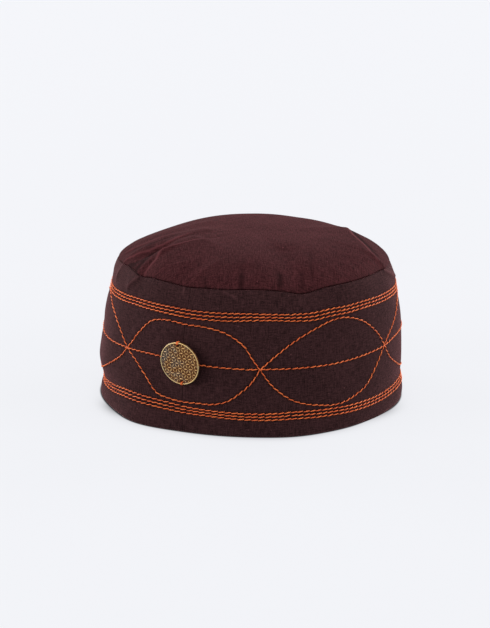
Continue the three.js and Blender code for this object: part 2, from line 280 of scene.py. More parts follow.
class CapSizes(PropertyGroup):
    """The cap's driving sizes."""

    band_radius: FloatProperty(
        name="Band radius", description="Outside radius of the band at its lower edge",
        default=94 * MM, min=0.05, max=0.15, unit="LENGTH")
    band_height: FloatProperty(
        name="Band height", description="Height of the seam above the lower edge at the front",
        default=88 * MM, min=0.03, max=0.15, unit="LENGTH")
    band_cloth: FloatProperty(
        name="Band cloth", description="Thickness of the band's wall",
        default=2.4 * MM, min=0.001, max=0.003, unit="LENGTH")
    crown_cloth: FloatProperty(
        name="Crown cloth", description="Thickness of the crown's wall",
        default=1.4 * MM, min=0.001, max=0.003, unit="LENGTH")
    crown_rise: FloatProperty(
        name="Crown rise", description="How far the crown stands above the seam in the middle",
        default=15.4 * MM, min=0.005, max=0.05, unit="LENGTH")
    stitch_length: FloatProperty(
        name="Stitch length", description="Distance from one needle hole to the next",
        default=4.0 * MM, min=0.002, max=0.01, unit="LENGTH")
    thread_radius: FloatProperty(
        name="Thread radius", description="Half the thickness of the embroidery thread",
        default=0.33 * MM, min=0.0001, max=0.001, unit="LENGTH")
    disc_radius: FloatProperty(
        name="Disc radius", description="Outside radius of the brass disc",
        default=13.5 * MM, min=0.005, max=0.03, unit="LENGTH")
    seed: IntProperty(
        name="Seed", description="Starts the small differences between stitches", default=7, min=0)


class CapColours(PropertyGroup):
    """The cap's colours."""

    band: FloatVectorProperty(
        name="Band", description="Colour of the band's cotton", subtype="COLOR",
        default=srgb(54, 33, 34), min=0, max=1)
    crown: FloatVectorProperty(
        name="Crown", description="Colour of the crown's cotton", subtype="COLOR",
        default=srgb(63, 31, 33), min=0, max=1)
    thread: FloatVectorProperty(
        name="Thread", description="Colour of the embroidery thread", subtype="COLOR",
        default=srgb(250, 99, 48), min=0, max=1)
    brass: FloatVectorProperty(
        name="Brass", description="Colour of the disc where it is worn bright", subtype="COLOR",
        default=srgb(246, 200, 130), min=0, max=1)
    tarnish: FloatVectorProperty(
        name="Tarnish", description="Colour of the disc in its recesses", subtype="COLOR",
        default=srgb(108, 66, 38), min=0, max=1)
    floor: FloatVectorProperty(
        name="Floor", description="Colour of the pale floor", subtype="COLOR",
        default=srgb(242, 243, 247), min=0, max=1)


# Curves and folds


def wrapped(angle, start=-180.0):
    """The angle in degrees, brought into the full turn that begins at start."""
    return (angle - start) % 360.0 + start


def through_rows(rows, column, at):
    """A smooth curve through a table's rows: a cubic between neighbours, whose slope at a row is
    that of the line between the rows on either side. The first column holds the places."""
    places = next(iter(rows.values()))
    values = rows[column]
    before = np.maximum(np.arange(len(places)) - 1, 0)
    after = np.minimum(np.arange(len(places)) + 1, len(places) - 1)
    slopes = (values[after] - values[before]) / (places[after] - places[before])
    k = np.clip(np.searchsorted(places, at, side="right") - 1, 0, len(places) - 2)
    span = places[k + 1] - places[k]
    s = (at - places[k]) / span
    rising = s * s * (3 - 2 * s)
    return (
        (1 - rising) * values[k] + rising * values[k + 1]
        + span * (s * (1 - s) ** 2 * slopes[k] - s * s * (1 - s) * slopes[k + 1])
    )


def round_the_cap(rows):
    """The same table with its last rows repeated a turn earlier and its first rows a turn later."""
    ends = 3
    angle = rows["angle"]
    longer = {"angle": np.concatenate([angle[-ends:] - 360, angle, angle[:ends] + 360])}
    for name, values in rows.items():
        if name != "angle":
            longer[name] = np.concatenate([values[-ends:], values, values[:ends]])
    return longer


RINGS_ROUND = round_the_cap(RINGS)


def fold_share(along, across, length, left, right):
    """How much of a fold's rise a point gets: all of it on the line between its ends, and less to
    either hand and past its ends, as a bell curve."""
    past = np.maximum(np.maximum(-along, along - length), 0)
    spread = np.where(across > 0, left, right)
    return np.exp(-((across / spread) ** 2) - (past / min(left, right)) ** 2)


def lines_rise(x, y, lines):
    """The summed rise of several straight folds: rows of (from x, y, to x, y, left, right, rise)."""
    rise = np.zeros(np.broadcast(x, y).shape)
    for from_x, from_y, to_x, to_y, left, right, height in lines:
        run_x, run_y = to_x - from_x, to_y - from_y
        length = math.hypot(run_x, run_y)
        along = ((x - from_x) * run_x + (y - from_y) * run_y) / length
        across = (run_x * (y - from_y) - run_y * (x - from_x)) / length
        rise = rise + height * fold_share(along, across, length, left, right)
    return rise


# The first and last shares of a crease's length over which it dies out, and how sharp its crest is:
# the power of the distance in its fall, where 2 is a round bell curve and 1 a sharp edge
CREASE_START = 0.2
CREASE_END = 0.35
CREST_POWER = 1.2


def creases(x, y, rows, line):
    """The rise and the tone of creases, rows of (left, right, rise, tone, points). The tone is a
    painted highlight where it is positive and a painted shade where it is negative. A crease follows
    the line through its points and dies out at both ends. Its rise falls off from a sharp crest
    on either hand, and its tone within the distance line, or twice that in a valley."""
    shape = np.broadcast(x, y).shape
    rise, tone = np.zeros(shape), np.zeros(shape)
    for left, right, height, shade, points in rows:
        runs = np.diff(points, axis=0)
        lengths = np.hypot(*runs.T)
        total = lengths.sum()
        nearest, share, hand = np.full(shape, np.inf), np.zeros(shape), np.zeros(shape)
        for k, ((from_x, from_y), (run_x, run_y)) in enumerate(zip(points, runs)):
            along = np.clip(((x - from_x) * run_x + (y - from_y) * run_y) / lengths[k] ** 2, 0, 1)
            dx, dy = x - from_x - along * run_x, y - from_y - along * run_y
            distance = np.hypot(dx, dy)
            closer = distance < nearest
            nearest = np.where(closer, distance, nearest)
            share = np.where(closer, (lengths[:k].sum() + along * lengths[k]) / total, share)
            hand = np.where(closer, run_x * dy - run_y * dx, hand)
        fade = smooth_step(share / CREASE_START) * smooth_step((1 - share) / CREASE_END)
        crest = np.exp(-((nearest / np.where(hand > 0, left, right)) ** CREST_POWER))
        rise = rise + height * fade * crest
        tone = tone + shade * fade * np.exp(-((nearest / (line if shade > 0 else 2 * line)) ** 2))
    return rise, tone


def smooth_step(share):
    """0 below 0, 1 above 1, and a smooth rise between them."""
    share = np.clip(share, 0, 1)
    return share * share * (3 - 2 * share)


def crown_fold_rise(x, y):
    """The rise of the crown's folds and creases as a share of the crown's rise, at shares of its
    radius."""
    return lines_rise(x, y, zip(*CROWN_FOLDS.values())) + creases(x, y, CROWN_CREASES, CROWN_LINE)[0]


# The band's surface


def seam_height(size, angle):
    """The height of the seam: the band's height and the sum of its waves, each a bell curve."""
    share = np.ones(np.shape(angle))
    for middle, spread, lift in zip(*SEAM_WAVES.values()):
        share = share + lift * np.exp(-((wrapped(angle - middle) / spread) ** 2))
    return size.band_height * share


def band_creases(size, angle, share):
    """How far the band's creases stand out, and their tone of painted highlight and shade, on the unrolled
    band.
    """
    across = math.radians(1) * size.band_radius / size.band_height
    rows = [(*row[:-1], [(at * across, height) for at, height in row[-1]]) for row in BAND_CREASES]
    rise, tone = creases(wrapped(angle) * across, share, rows, BAND_LINE)
    return rise * size.band_height, tone


def band_radius(size, angle, share):
    """The band's outer radius: its four side columns joined round the cap by cosines of the angle
    and of twice the angle, times the nominal radius, and its creases."""
    turn = np.radians(angle)
    left, front, right, back = (
        through_rows(BAND_SECTIONS, side, share) for side in ("left", "front", "right", "back"))
    outline = (
        (left + front + right + back) / 4
        + (front - back) / 2 * np.cos(turn)
        + (right - left) / 2 * np.sin(turn)
        + (front + back - left - right) / 4 * np.cos(2 * turn)
    )
    return size.band_radius * outline + band_creases(size, angle, share)[0]


def band_bulge(angle, height):
    """How far the cloth stands out at its bulges, each a bell curve of the angle and the height."""
    rise = np.zeros(np.broadcast(angle, height).shape)
    for middle, level, spread, climb, most in zip(*BAND_BULGES.values()):
        across = wrapped(angle - middle) / spread
        rise = rise + most * np.exp(-(across**2) - ((height - level) / climb) ** 2)
    return rise


def around_axis(angle, radius, height):
    """Points from the angle round the cap, the distance from its axis and the height."""
    turn = np.radians(angle)
    return np.stack(np.broadcast_arrays(radius * np.sin(turn), -radius * np.cos(turn), height), -1)


def ring_height(size, angle, ring):
    """The height of one of the stitched rings' middle rows, or the step between a triple's rows."""
    chart = through_rows(RINGS_ROUND, ring, wrapped(angle, RINGS["angle"][0]))
    return chart * MM * size.band_height / CHART_HEIGHT


def wave_height(size, angle, wave):
    """The height of one of the two waves. In each lens between two crossings one wave runs over
    the crossings' line and the other under it, and they change places in the next lens."""
    first = CROSSINGS["angle"][0]
    places = np.append(CROSSINGS["angle"], first + 360)
    heights = np.append(CROSSINGS["height"], CROSSINGS["height"][0])
    at = wrapped(angle, first)
    lens = np.clip(np.searchsorted(places, at, side="right") - 1, 0, len(LENS_SHAPES) - 1)
    share = (at - places[lens]) / (places[lens + 1] - places[lens])
    over = (lens + wave) % 2 == 0
    chart = heights[lens] + share * (heights[lens + 1] - heights[lens])
    for k, shape in enumerate(LENS_SHAPES):
        high = through_rows(LENSES, shape + "_over", share)
        low = through_rows(LENSES, shape + "_under", share)
        chart = chart + np.where(lens == k, np.where(over, high, low), 0)
    return chart * MM * size.band_height / CHART_HEIGHT


# Half the turn, in degrees, over which a wave's slope is measured
SLOPE_TURN = 0.2


def row_distances(size, angle, height):
    """Signed distances up from the rings' middle rows and, square to them, from the waves. Those
    to the triples are stretched so that their rows are always ROW_STEP apart."""
    rings = [height - ring_height(size, angle, ring) for ring in ("lower", "single", "upper")]
    for k, step in ((0, "lower_step"), (2, "upper_step")):
        rings[k] = rings[k] * ROW_STEP / ring_height(size, angle, step)
    waves = []
    for wave in (0, 1):
        ahead, behind = (wave_height(size, angle + turn, wave) for turn in (SLOPE_TURN, -SLOPE_TURN))
        slope = (ahead - behind) / (math.radians(2 * SLOPE_TURN) * size.band_radius)
        waves.append((height - wave_height(size, angle, wave)) / np.sqrt(1 + slope**2))
    return np.stack(rings, -1), np.stack([*waves, np.zeros(np.shape(waves[0]))], -1)


# The groove under a line of stitches, how much deeper it can get where lines meet, and its spreads
GROOVE_DEPTH = 0.16 * MM
GROOVE_MOST = 1.2
GROOVE_SPREAD = 0.8 * MM
TRIPLE_SPREAD = 2.9 * MM


def band_relief(size, angle, height, rings, waves):
    """The band's fine relief: slow swells, each the product of a sine round the cap and one up it,
    its bulges, and a shallow groove under each line of stitches, as a bell curve of the distance
    to it, which is wider and flatter under a triple."""
    share = height / seam_height(size, angle)
    relief = np.zeros(np.broadcast(angle, height).shape)
    for turns, climbs, phase, rise in zip(*BAND_SWELLS.values()):
        relief = relief + rise * np.sin(np.radians(turns * angle + phase)) * np.sin(
            np.pi * climbs * share + math.radians(phase))
    distances = [rings[..., 1], waves[..., 0], waves[..., 1]]
    narrow = sum(np.exp(-((d / GROOVE_SPREAD) ** 2)) for d in distances)
    wide = sum(np.exp(-((rings[..., k] / TRIPLE_SPREAD) ** 4)) for k in (0, 2))
    return relief + band_bulge(angle, height) - GROOVE_DEPTH * np.minimum(narrow + wide, GROOVE_MOST)


def band_surface(size, angle, height, inset=0.0):
    """A point of the band from its angle, its height and how far it lies inside the outer face."""
    rings, waves = row_distances(size, angle, height)
    relief = band_relief(size, angle, height, rings, waves)
    radius = band_radius(size, angle, np.clip(height / seam_height(size, angle), 0, 1))
    return around_axis(angle, radius + relief - inset, height)


# Half the turn, in degrees, and half the rise over which the cloth's directions are measured
SHORT_TURN = 0.15
SHORT_LIFT = 0.3 * MM


def band_frame(size, angle, height):
    """Point, outward normal and direction round the cap, by differences over a short step."""
    point = band_surface(size, angle, height)
    along = band_surface(size, angle + SHORT_TURN, height) - band_surface(size, angle - SHORT_TURN, height)
    up = band_surface(size, angle, height + SHORT_LIFT) - band_surface(size, angle, height - SHORT_LIFT)
    return point, unit(np.cross(along, up)), unit(along)


def unit(vectors):
    """The same vectors with length one."""
    return vectors / np.maximum(np.linalg.norm(vectors, axis=-1, keepdims=True), 1e-12)


# Meshes

# Close steps round the cap, from the back to the back, along which rows of stitches are measured
FINE_ANGLES = np.linspace(-180, 180, 7201)


def make_object(name, points, faces, corner_maps=(), attributes=()):
    """A smooth-shaded mesh object. corner_maps are (name, two numbers for each face corner), and
    attributes are (name, kind, values for each point)."""
    mesh = bpy.data.meshes.new(name)
    mesh.from_pydata(points.reshape(-1, 3), [], faces)
    for map_name, values in corner_maps:
        layer = mesh.uv_layers.new(name=map_name)
        layer.uv.foreach_set("vector", np.ascontiguousarray(values, np.float32).ravel())
    for attribute_name, kind, values in attributes:
        attribute = mesh.attributes.new(attribute_name, kind, "POINT")
        field = "vector" if kind == "FLOAT_VECTOR" else "value"
        attribute.data.foreach_set(field, np.ascontiguousarray(values, np.float32).ravel())
    mesh.shade_smooth()
    mesh.validate()
    piece = bpy.data.objects.new(name, mesh)
    bpy.context.scene.collection.objects.link(piece)
    return piece


def ring_faces(rows, columns, closed):
    """Quads of a grid whose columns go round and meet. With closed, its last row meets its first."""
    i, j = np.meshgrid(np.arange(rows if closed else rows - 1), np.arange(columns), indexing="ij")
    here, there = i * columns, (i + 1) % rows * columns
    right = (j + 1) % columns
    return np.stack([here + j, here + right, there + right, there + j], -1).reshape(-1, 4)


def ring_corners(values):
    """Corner values for ring_faces, from values at rows and at one column more than the grid has."""
    low, high = values[:-1], values[1:]
    return np.stack([low[:, :-1], low[:, 1:], high[:, 1:], high[:, :-1]], 2).reshape(-1, 2)


def finish_piece(piece, slot, material, *replaced):
    """Gives a piece its material and its place in the frame."""
    piece.data.materials.append(material)
    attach(piece, BODY)
    if replaced:
        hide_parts(*replaced)


# Shaders


class Value:
    """A shader socket that Python arithmetic works on. Each operator adds one Math node."""

    def __init__(self, shader, socket):
        self.shader = shader
        self.socket = socket

    def maths(self, operation, *others):
        """The result of a Math node on this value and the others."""
        inputs = dict(enumerate((self, *others)))
        return self.shader.node("ShaderNodeMath", {"operation": operation}, inputs)

    def __add__(self, other):
        return self.maths("ADD", other)

    __radd__ = __add__

    def __mul__(self, other):
        return self.maths("MULTIPLY", other)

    __rmul__ = __mul__

    def __sub__(self, other):
        return self.maths("SUBTRACT", other)

    def __rsub__(self, other):
        return self * -1 + other

    def __pow__(self, other):
        return self.maths("POWER", other)

    def __abs__(self):
        return self.maths("ABSOLUTE")

    def cosine(self):
        """The cosine of the value in radians."""
        return self.maths("COSINE")

    def least(self, other):
        """The smaller of the two."""
        return self.maths("MINIMUM", other)

    def most(self, other):
        """The larger of the two."""
        return self.maths("MAXIMUM", other)

    def step_up(self, low, high):
        """0 up to low, 1 from high, and a smooth rise between them."""
        settings = {"interpolation_type": "SMOOTHSTEP"}
        return self.shader.node("ShaderNodeMapRange", settings, {0: self, 1: low, 2: high})


class Shader:
    """The nodes of one material, ending in a Principled shader."""

    def __init__(self, name):
        self.material = bpy.data.materials.new(name)
        self.material.use_nodes = True
        self.nodes = self.material.node_tree.nodes
        self.links = self.material.node_tree.links
        self.principled = self.nodes["Principled BSDF"]

    def feed(self, socket, value):
        """Links a value to a socket, or sets a constant on it."""
        if isinstance(value, Value):
            self.links.new(value.socket, socket)
        else:
            socket.default_value = value

    def node(self, kind, settings=None, inputs=None, output=0):
        """Adds a node, sets it up, feeds its sockets and gives back one of its outputs."""
        node = self.nodes.new(kind)
        for name, value in (settings or {}).items():
            setattr(node, name, value)
        for key, value in (inputs or {}).items():
            self.feed(node.inputs[key], value)
        return Value(self, node.outputs[output])

    def parts(self, vector):
        """The three numbers of a vector."""
        first = self.node("ShaderNodeSeparateXYZ", {}, {0: vector})
        outputs = first.socket.node.outputs
        return [Value(self, outputs[k]) for k in range(3)]

    def vector(self, x, y, z=0.0):
        """A vector from three numbers."""
        return self.node("ShaderNodeCombineXYZ", {}, {0: x, 1: y, 2: z})

    def corner_map(self, name):
        """The first two numbers of a UV map."""
        return self.parts(self.node("ShaderNodeUVMap", {"uv_map": name}))[:2]

    def attribute(self, name, output=2):
        """A mesh attribute: output 2 is its number and 1 its vector."""
        return self.node("ShaderNodeAttribute", {"attribute_name": name}, output=output)

    def noise(self, vector, scale, detail=2.0):
        """Soft noise from 0 to 1."""
        inputs = {"Vector": vector, "Scale": scale, "Detail": detail}
        return self.node("ShaderNodeTexNoise", {}, inputs)

    def mix(self, low, high, factor):
        """A colour between two others."""
        inputs = {0: factor, 6: low, 7: high}
        return self.node("ShaderNodeMix", {"data_type": "RGBA"}, inputs, output=2)

    def bump(self, height, distance):
        """A normal from a height, which is a share of the distance."""
        return self.node("ShaderNodeBump", {}, {"Height": height, "Distance": distance})

    def finish(self, **inputs):
        """Feeds the Principled shader and gives back the material. Names have _ for spaces."""
        for name, value in inputs.items():
            self.feed(self.principled.inputs[name.replace("_", " ")], value)
        return self.material


def tinted(colour, factor):
    """A colour with its brightness changed, as four numbers."""
    return (*[min(1.0, c * factor) for c in colour], 1.0)


# Cotton's patterns: the step of its weave and the scales of its noises, those of its uneven threads
# along and across them
WEAVE_STEP = 0.5 * MM
PATCH_SCALE = 38.0
GRAIN_SCALE = 1500.0
LINT_SCALE = 520.0
LEVEL_SLUBS = (230, 1400)
UPRIGHT_SLUBS = (190, 1400)

# How much each pattern changes cotton's tone, which goes from DARKEST to LIGHTEST times its colour
PATCH_TONE = 0.5
THREAD_TONE = 3.2
GRAIN_TONE = 1.4
WEAVE_TONE = 0.06
DARKEST = 0.45
LIGHTEST = 1.55

# Marks on cotton and painted light and shade on it: how bright each is against the cloth's colour, and how
# much of it shows
COTTON_MARKS_AND_PAINTED_LIGHT = {
    # worn: a painted highlight on the ridges of creases, and wear along the band's hem
    "worn": (2.8, 0.7),
    # valley: painted shade in the valleys of creases
    "valley": (0.2, 0.7),
    "lint": (4.5, 0.4),
    # seam: painted shade along the seam between band and crown
    "seam": (0.15, 0.7),
    # row: painted shade along the rows of stitches
    "row": (0.3, 0.7),
    # hole: painted shade in the needle holes
    "hole": (0.1, 0.85),
    "join": (0.3, 0.6),
}

# Depths of the weave, the threads, the grain, the needle holes and the join, as shares of COTTON_BUMP
WEAVE_DEPTH = 0.3
THREAD_DEPTH = 1.2
GRAIN_DEPTH = 0.5
HOLE_DEPTH = 3.2
JOIN_DEPTH = 1.6
COTTON_BUMP = 0.2 * MM

# Half the width of the join's dark line, in millimetres, the noise from which lint begins and is
# whole, and how much sheen the two cottons have
JOIN_LINE = 0.6
LINT_START = 0.83
LINT_WHOLE = 0.88
BAND_SHEEN = 0.9
CROWN_SHEEN = 0.07


def weave(u, v):
    """Height of a plain weave: threads cross over and under each other like the squares of a
    chequerboard, the product of two cosines, and each thread is a ridge."""
    across = (u * (math.pi / WEAVE_STEP)).cosine()
    up = (v * (math.pi / WEAVE_STEP)).cosine()
    return across * up * 0.5 + 0.5


def slubs(shader, u, v):
    """Uneven threads: noise drawn out along each of the two thread directions, about 0.5."""
    along, across = LEVEL_SLUBS
    level = shader.noise(shader.vector(u * along, v * across), 1.0, 3.0)
    along, across = UPRIGHT_SLUBS
    upright = shader.noise(shader.vector(u * across, v * along, 7.0), 1.0, 3.0)
    return (level + upright) * 0.5


def marked(shader, base, colour, mark, mask):
    """A base colour with one of the marks, the cloth's own or painted light and shade, on it where the
    mask is 1.
    """
    factor, amount = COTTON_MARKS_AND_PAINTED_LIGHT[mark]
    return shader.mix(base, tinted(colour, factor), mask * amount)


def cotton(name, colour, sheen, stitched):
    """Dark matte cotton, painted lighter on its ridges as a highlight and darker in its valleys as shade,
    and darker at the seam, a painted shade. With stitched, painted shade lies along the rows of
    stitches and in their needle holes, which are pressed in, and the band's upright join shows."""
    shader = Shader(name)
    u, v = shader.corner_map("cloth")
    patches = shader.noise(shader.vector(u, v), PATCH_SCALE, 3.0)
    threads = slubs(shader, u, v)
    grain = shader.noise(shader.vector(u, v, 5.0), GRAIN_SCALE, 1.0)
    weft = weave(u, v)
    height = weft * WEAVE_DEPTH + threads * THREAD_DEPTH + grain * GRAIN_DEPTH
    tone = (patches - 0.5) * PATCH_TONE + (threads - 0.5) * THREAD_TONE
    tone = tone + (grain - 0.5) * GRAIN_TONE + (weft - 0.5) * WEAVE_TONE + 0.5
    base = shader.mix(tinted(colour, DARKEST), tinted(colour, LIGHTEST), tone.most(0.0).least(1.0))
    crease = shader.attribute("crease")
    # Painted highlight on the ridges of creases and the hem's wear, then painted shade in their valleys
    base = marked(shader, base, colour, "worn", crease.step_up(0.0, 1.0))
    base = marked(shader, base, colour, "valley", (crease * -1).step_up(0.0, 1.0))
    lint = shader.noise(shader.vector(u, v, 3.0), LINT_SCALE, 0.0).step_up(LINT_START, LINT_WHOLE)
    base = marked(shader, base, colour, "lint", lint)
    # Painted shade along the seam
    base = marked(shader, base, colour, "seam", shader.attribute("seam"))
    if stitched:
        # Painted shade along the rows of stitches
        base = marked(shader, base, colour, "row", shader.attribute("shade"))
        holes = needle_holes(shader)
        # Painted shade in the needle holes
        base = marked(shader, base, colour, "hole", holes)
        line = 1 - abs(shader.attribute("join")).step_up(0.0, JOIN_LINE)
        base = marked(shader, base, colour, "join", line)
        height = height - holes * HOLE_DEPTH - line * JOIN_DEPTH
    return shader.finish(
        Base_Color=base,
        Roughness=threads * 0.15 + 0.8,
        Normal=shader.bump(height, COTTON_BUMP),
        Sheen_Weight=sheen,
        Sheen_Roughness=0.25,
        Sheen_Tint=tinted(colour, 12.0),
        Specular_IOR_Level=0.03,
    )


# How far the holes of a triple's rows are shifted against each other, as a share of a stitch, how far
# across the row a hole is whole and where it ends, in millimetres, and how short it is along the row
HOLE_SHIFT = 0.37
HOLE_CORE = 0.25
HOLE_EDGE = 0.95
HOLE_POWER = 5


def needle_holes(shader):
    """1 at each needle hole and 0 away from it: a smooth step across the row times a power of a raised
    cosine along it. The distance across is in millimetres, and a row's count of stitches is whole
    at each hole."""
    ring_count, wave_counts = shader.corner_map("ring_count")[0], shader.corner_map("wave_counts")
    lower, single, upper = shader.parts(shader.attribute("rings", 1))
    waves = shader.parts(shader.attribute("waves", 1))[:2]
    row_step = ROW_STEP / MM
    found = None
    rows = [(single, ring_count)]
    for triple in (lower, upper):
        rows += [(triple + k * row_step, ring_count + HOLE_SHIFT * k) for k in (-1, 0, 1)]
    rows += list(zip(waves, wave_counts))
    for distance, count in rows:
        across = 1 - abs(distance).step_up(HOLE_CORE, HOLE_EDGE)
        along = ((count * (2 * math.pi)).cosine() * 0.5 + 0.5) ** HOLE_POWER
        mask = across * along
        found = mask if found is None else found.most(mask)
    return found


# The length of thread in which its plies wind once round each other, and the depth of its surface
PLY_TURN = 0.9 * MM
THREAD_BUMP = 0.12 * MM


def thread(name, colour):
    """Soft twisted cotton thread. Its brightness is a sum of shares: a tone of each stitch's own, the
    two plies, which wind round each other as a cosine along and round it, and a little fuzz. It is
    darkened by a painted shade where it dips into the cloth."""
    shader = Shader(name)
    along, around = shader.corner_map("thread")
    tone = shader.attribute("tone")
    dip = shader.attribute("dip")
    plies = ((along * (1 / PLY_TURN) + around * 2) * (2 * math.pi)).cosine() * 0.5 + 0.5
    fuzz = shader.noise(shader.vector(along * 3000, around * 6, tone * 9), 1.0)
    bright = tone * 0.45 + plies * 0.3 + (fuzz - 0.5) * 0.5 + 0.1
    base = shader.mix(tinted(colour, 0.7), tinted(colour, 1.9), bright.most(0.0).least(1.0))
    # Painted shade where the thread dips into the cloth
    base = shader.mix(base, tinted(colour, 0.15), dip.step_up(0.0, 1.0) * 0.75)
    return shader.finish(
        Base_Color=base,
        Roughness=0.6,
        Normal=shader.bump(plies * 0.8 + fuzz * 0.5, THREAD_BUMP),
        Sheen_Weight=0.05,
        Sheen_Roughness=0.4,
        Sheen_Tint=tinted(colour, 1.6),
        Specular_IOR_Level=0.3,
    )


# What the brass turns to where it is bluish, in its recesses and on its petals, and at its rim, whose pale
# colour is wear and a painted highlight
COOL_RECESS = (*srgb(84, 76, 74), 1.0)
COOL_PETAL = (*srgb(222, 196, 160), 1.0)
PALE_RIM = (*srgb(255, 240, 170), 1.0)

# The scales of the brass's noises, the depth of its grain, the relief from which on it is the rim,
# and the noise from which its bluish patches begin and are whole
PATINA_SCALE = 210.0
SPOT_SCALE = 420.0
BRASS_GRAIN_SCALE = 2600.0
BRASS_BUMP = 0.03 * MM
RIM_START = 0.985
PATINA_START = 0.5
PATINA_WHOLE = 0.85


def aged_brass(name, bright, tarnish):
    """Cast brass: worn bright where it is raised, brown and dull in its recesses, and with bluish
    patches towards its left. Its rim is pale, worn and with a painted highlight."""
    shader = Shader(name)
    place = shader.node("ShaderNodeTexCoord", output=3)
    relief = shader.attribute("relief")
    cool = shader.attribute("cool")
    patches = shader.noise(place, PATINA_SCALE, 3.0) + cool * 0.2
    patches = patches.step_up(PATINA_START, PATINA_WHOLE)
    spots = shader.noise(place, SPOT_SCALE, 3.0)
    grain = shader.noise(place, BRASS_GRAIN_SCALE, 2.0)
    worn = relief.step_up(0.3, 0.95) * 0.85 + (spots - 0.5) * 0.7 + (grain - 0.5) * 0.3
    worn = worn.most(0.0).least(1.0)
    deep = shader.mix(tinted(tarnish, 1.0), COOL_RECESS, patches)
    high = shader.mix(tinted(bright, 1.0), COOL_PETAL, patches * 0.7)
    # The rim's pale colour: wear and a painted highlight
    rim = relief.step_up(RIM_START, 1.0)
    high = shader.mix(high, PALE_RIM, rim)
    base = shader.mix(deep, high, worn.most(rim))
    return shader.finish(
        Base_Color=base,
        Metallic=0.85 - worn * 0.25 - rim * 0.12,
        Roughness=0.58 - worn * 0.16 + grain * 0.12,
        Normal=shader.bump(grain, BRASS_BUMP),
    )


# Band

# The steps of the band's mesh round the cap, and the rows of its faces, its hem and its lip
AROUND_STEPS = 600
OUTER_ROWS = 96
INNER_ROWS = 22
HEM_ROWS = 7
LIP_ROWS = 6

# The lip's roll and its turn in degrees, and the groove behind it: how far in it begins, how deep it
# is, and how far its far wall is from the band's inner face
LIP_RADIUS = 0.8 * MM
LIP_TURN = 100
GROOVE_INSET = 1.05 * MM
GROOVE_BOTTOM = 1.0 * MM
GROOVE_WALL = 0.3 * MM


def band_section(size):
    """The band's cross-section once round, as (share of the seam's height, offset up, inset): the
    outer face upwards, the lip that rolls over into the seam's groove, the inner face downwards
    and the folded hem, a half circle."""
    half = size.band_cloth / 2
    up = np.linspace(0, 1, OUTER_ROWS)
    down = np.linspace(1, 0, INNER_ROWS)
    roll = np.linspace(0, math.radians(LIP_TURN), LIP_ROWS + 1)[1:]
    fold = np.linspace(0, math.pi, HEM_ROWS + 2)[1:-1]
    high = -LIP_RADIUS
    low = -GROOVE_BOTTOM
    outer = np.stack([up, half + (high - half) * up, 0 * up], -1)
    lip = np.stack([1 + 0 * roll, LIP_RADIUS * (np.sin(roll) - 1), LIP_RADIUS * (1 - np.cos(roll))], -1)
    groove = np.array([(1, low, GROOVE_INSET), (1, low, size.band_cloth - GROOVE_WALL)])
    inner = np.stack([down, half + (low - half) * down, size.band_cloth + 0 * down], -1)
    hem = np.stack([0 * fold, half * (1 - np.sin(fold)), half * (1 + np.cos(fold))], -1)
    return np.concatenate([outer, lip, groove, inner, hem])


def band_angles():
    """Even steps round the cap, with ten closer ones across the upright join."""
    even = np.linspace(-180, 180, AROUND_STEPS + 1)
    close = JOIN_ANGLE + np.linspace(-1, 1, 11)
    room = close[1] - close[0]
    even = even[(even < close[0] - room) | (even > close[-1] + room)]
    return np.sort(np.concatenate([even, close]))


def wave_counts(size, angles, wave):
    """Stitches from the back to each angle along a wave: its length divided by a stitch's, scaled
    so that the whole wave has a whole number of them."""
    path = band_surface(size, FINE_ANGLES, wave_height(size, FINE_ANGLES, wave))
    steps = np.linalg.norm(np.diff(path, axis=0), axis=1)
    length = np.concatenate([[0], np.cumsum(steps)])
    count = round(length[-1] / size.stitch_length)
    return np.interp(angles, FINE_ANGLES, length * count / length[-1])


def ring_stitches(size):
    """How many stitches go once round a ring."""
    return round(2 * math.pi * size.band_radius / size.stitch_length)


# How far the painted shade along a row of stitches reaches
SHADE_SPREAD = 0.95 * MM


def row_shade(rings, waves):
    """The painted shade along the rows of stitches, where they press into the cloth: a bell curve of
    the distance to the nearest row."""
    rows = [rings[..., 1], waves[..., 0], waves[..., 1]]
    rows += [rings[..., k] + step * ROW_STEP for k in (0, 2) for step in (-1, 0, 1)]
    nearest = np.min(np.abs(rows), axis=0)
    return np.exp(-((nearest / SHADE_SPREAD) ** 2))


# Where the seam's dark line, a painted shade, fades: past FADE_ANGLE degrees on the right and on the
# left, the share of it that goes, and the degrees over which it does
FADE_ANGLE = 66
SEAM_FADES = table("side share turn", [
    (1, 0.9, 7),
    (-1, 0.5, 10),
])


def seam_show(angle):
    """How plainly the seam's dark line of painted shade shows: 1, less a smooth step at the far left and
    right.
    """
    show = 1
    for side, share, turn in zip(*SEAM_FADES.values()):
        show = show - share * smooth_step((side * angle - FADE_ANGLE) / turn)
    return show


# The upright join: the cloth lies back by JOIN_STEP on its left and stands out by it on its right. It
# changes over within about JOIN_EDGE of the join, and is even again past JOIN_FADE.
JOIN_STEP = 0.14 * MM
JOIN_EDGE = 0.3 * MM
JOIN_FADE = 5 * MM

# How much the hem is worn, how far that and the painted shade of the seam reach, and the insets at
# which the seam's painted shade and its groove begin
HEM_WEAR = 0.5
HEM_REACH = 0.8 * MM
SEAM_REACH = 0.45 * MM
LIP_INSET = 0.4 * MM
DEEP_INSET = 0.95 * MM

# Distance in millimetres given to the inner face, which has no rows of stitches and no join
FAR = 1000.0


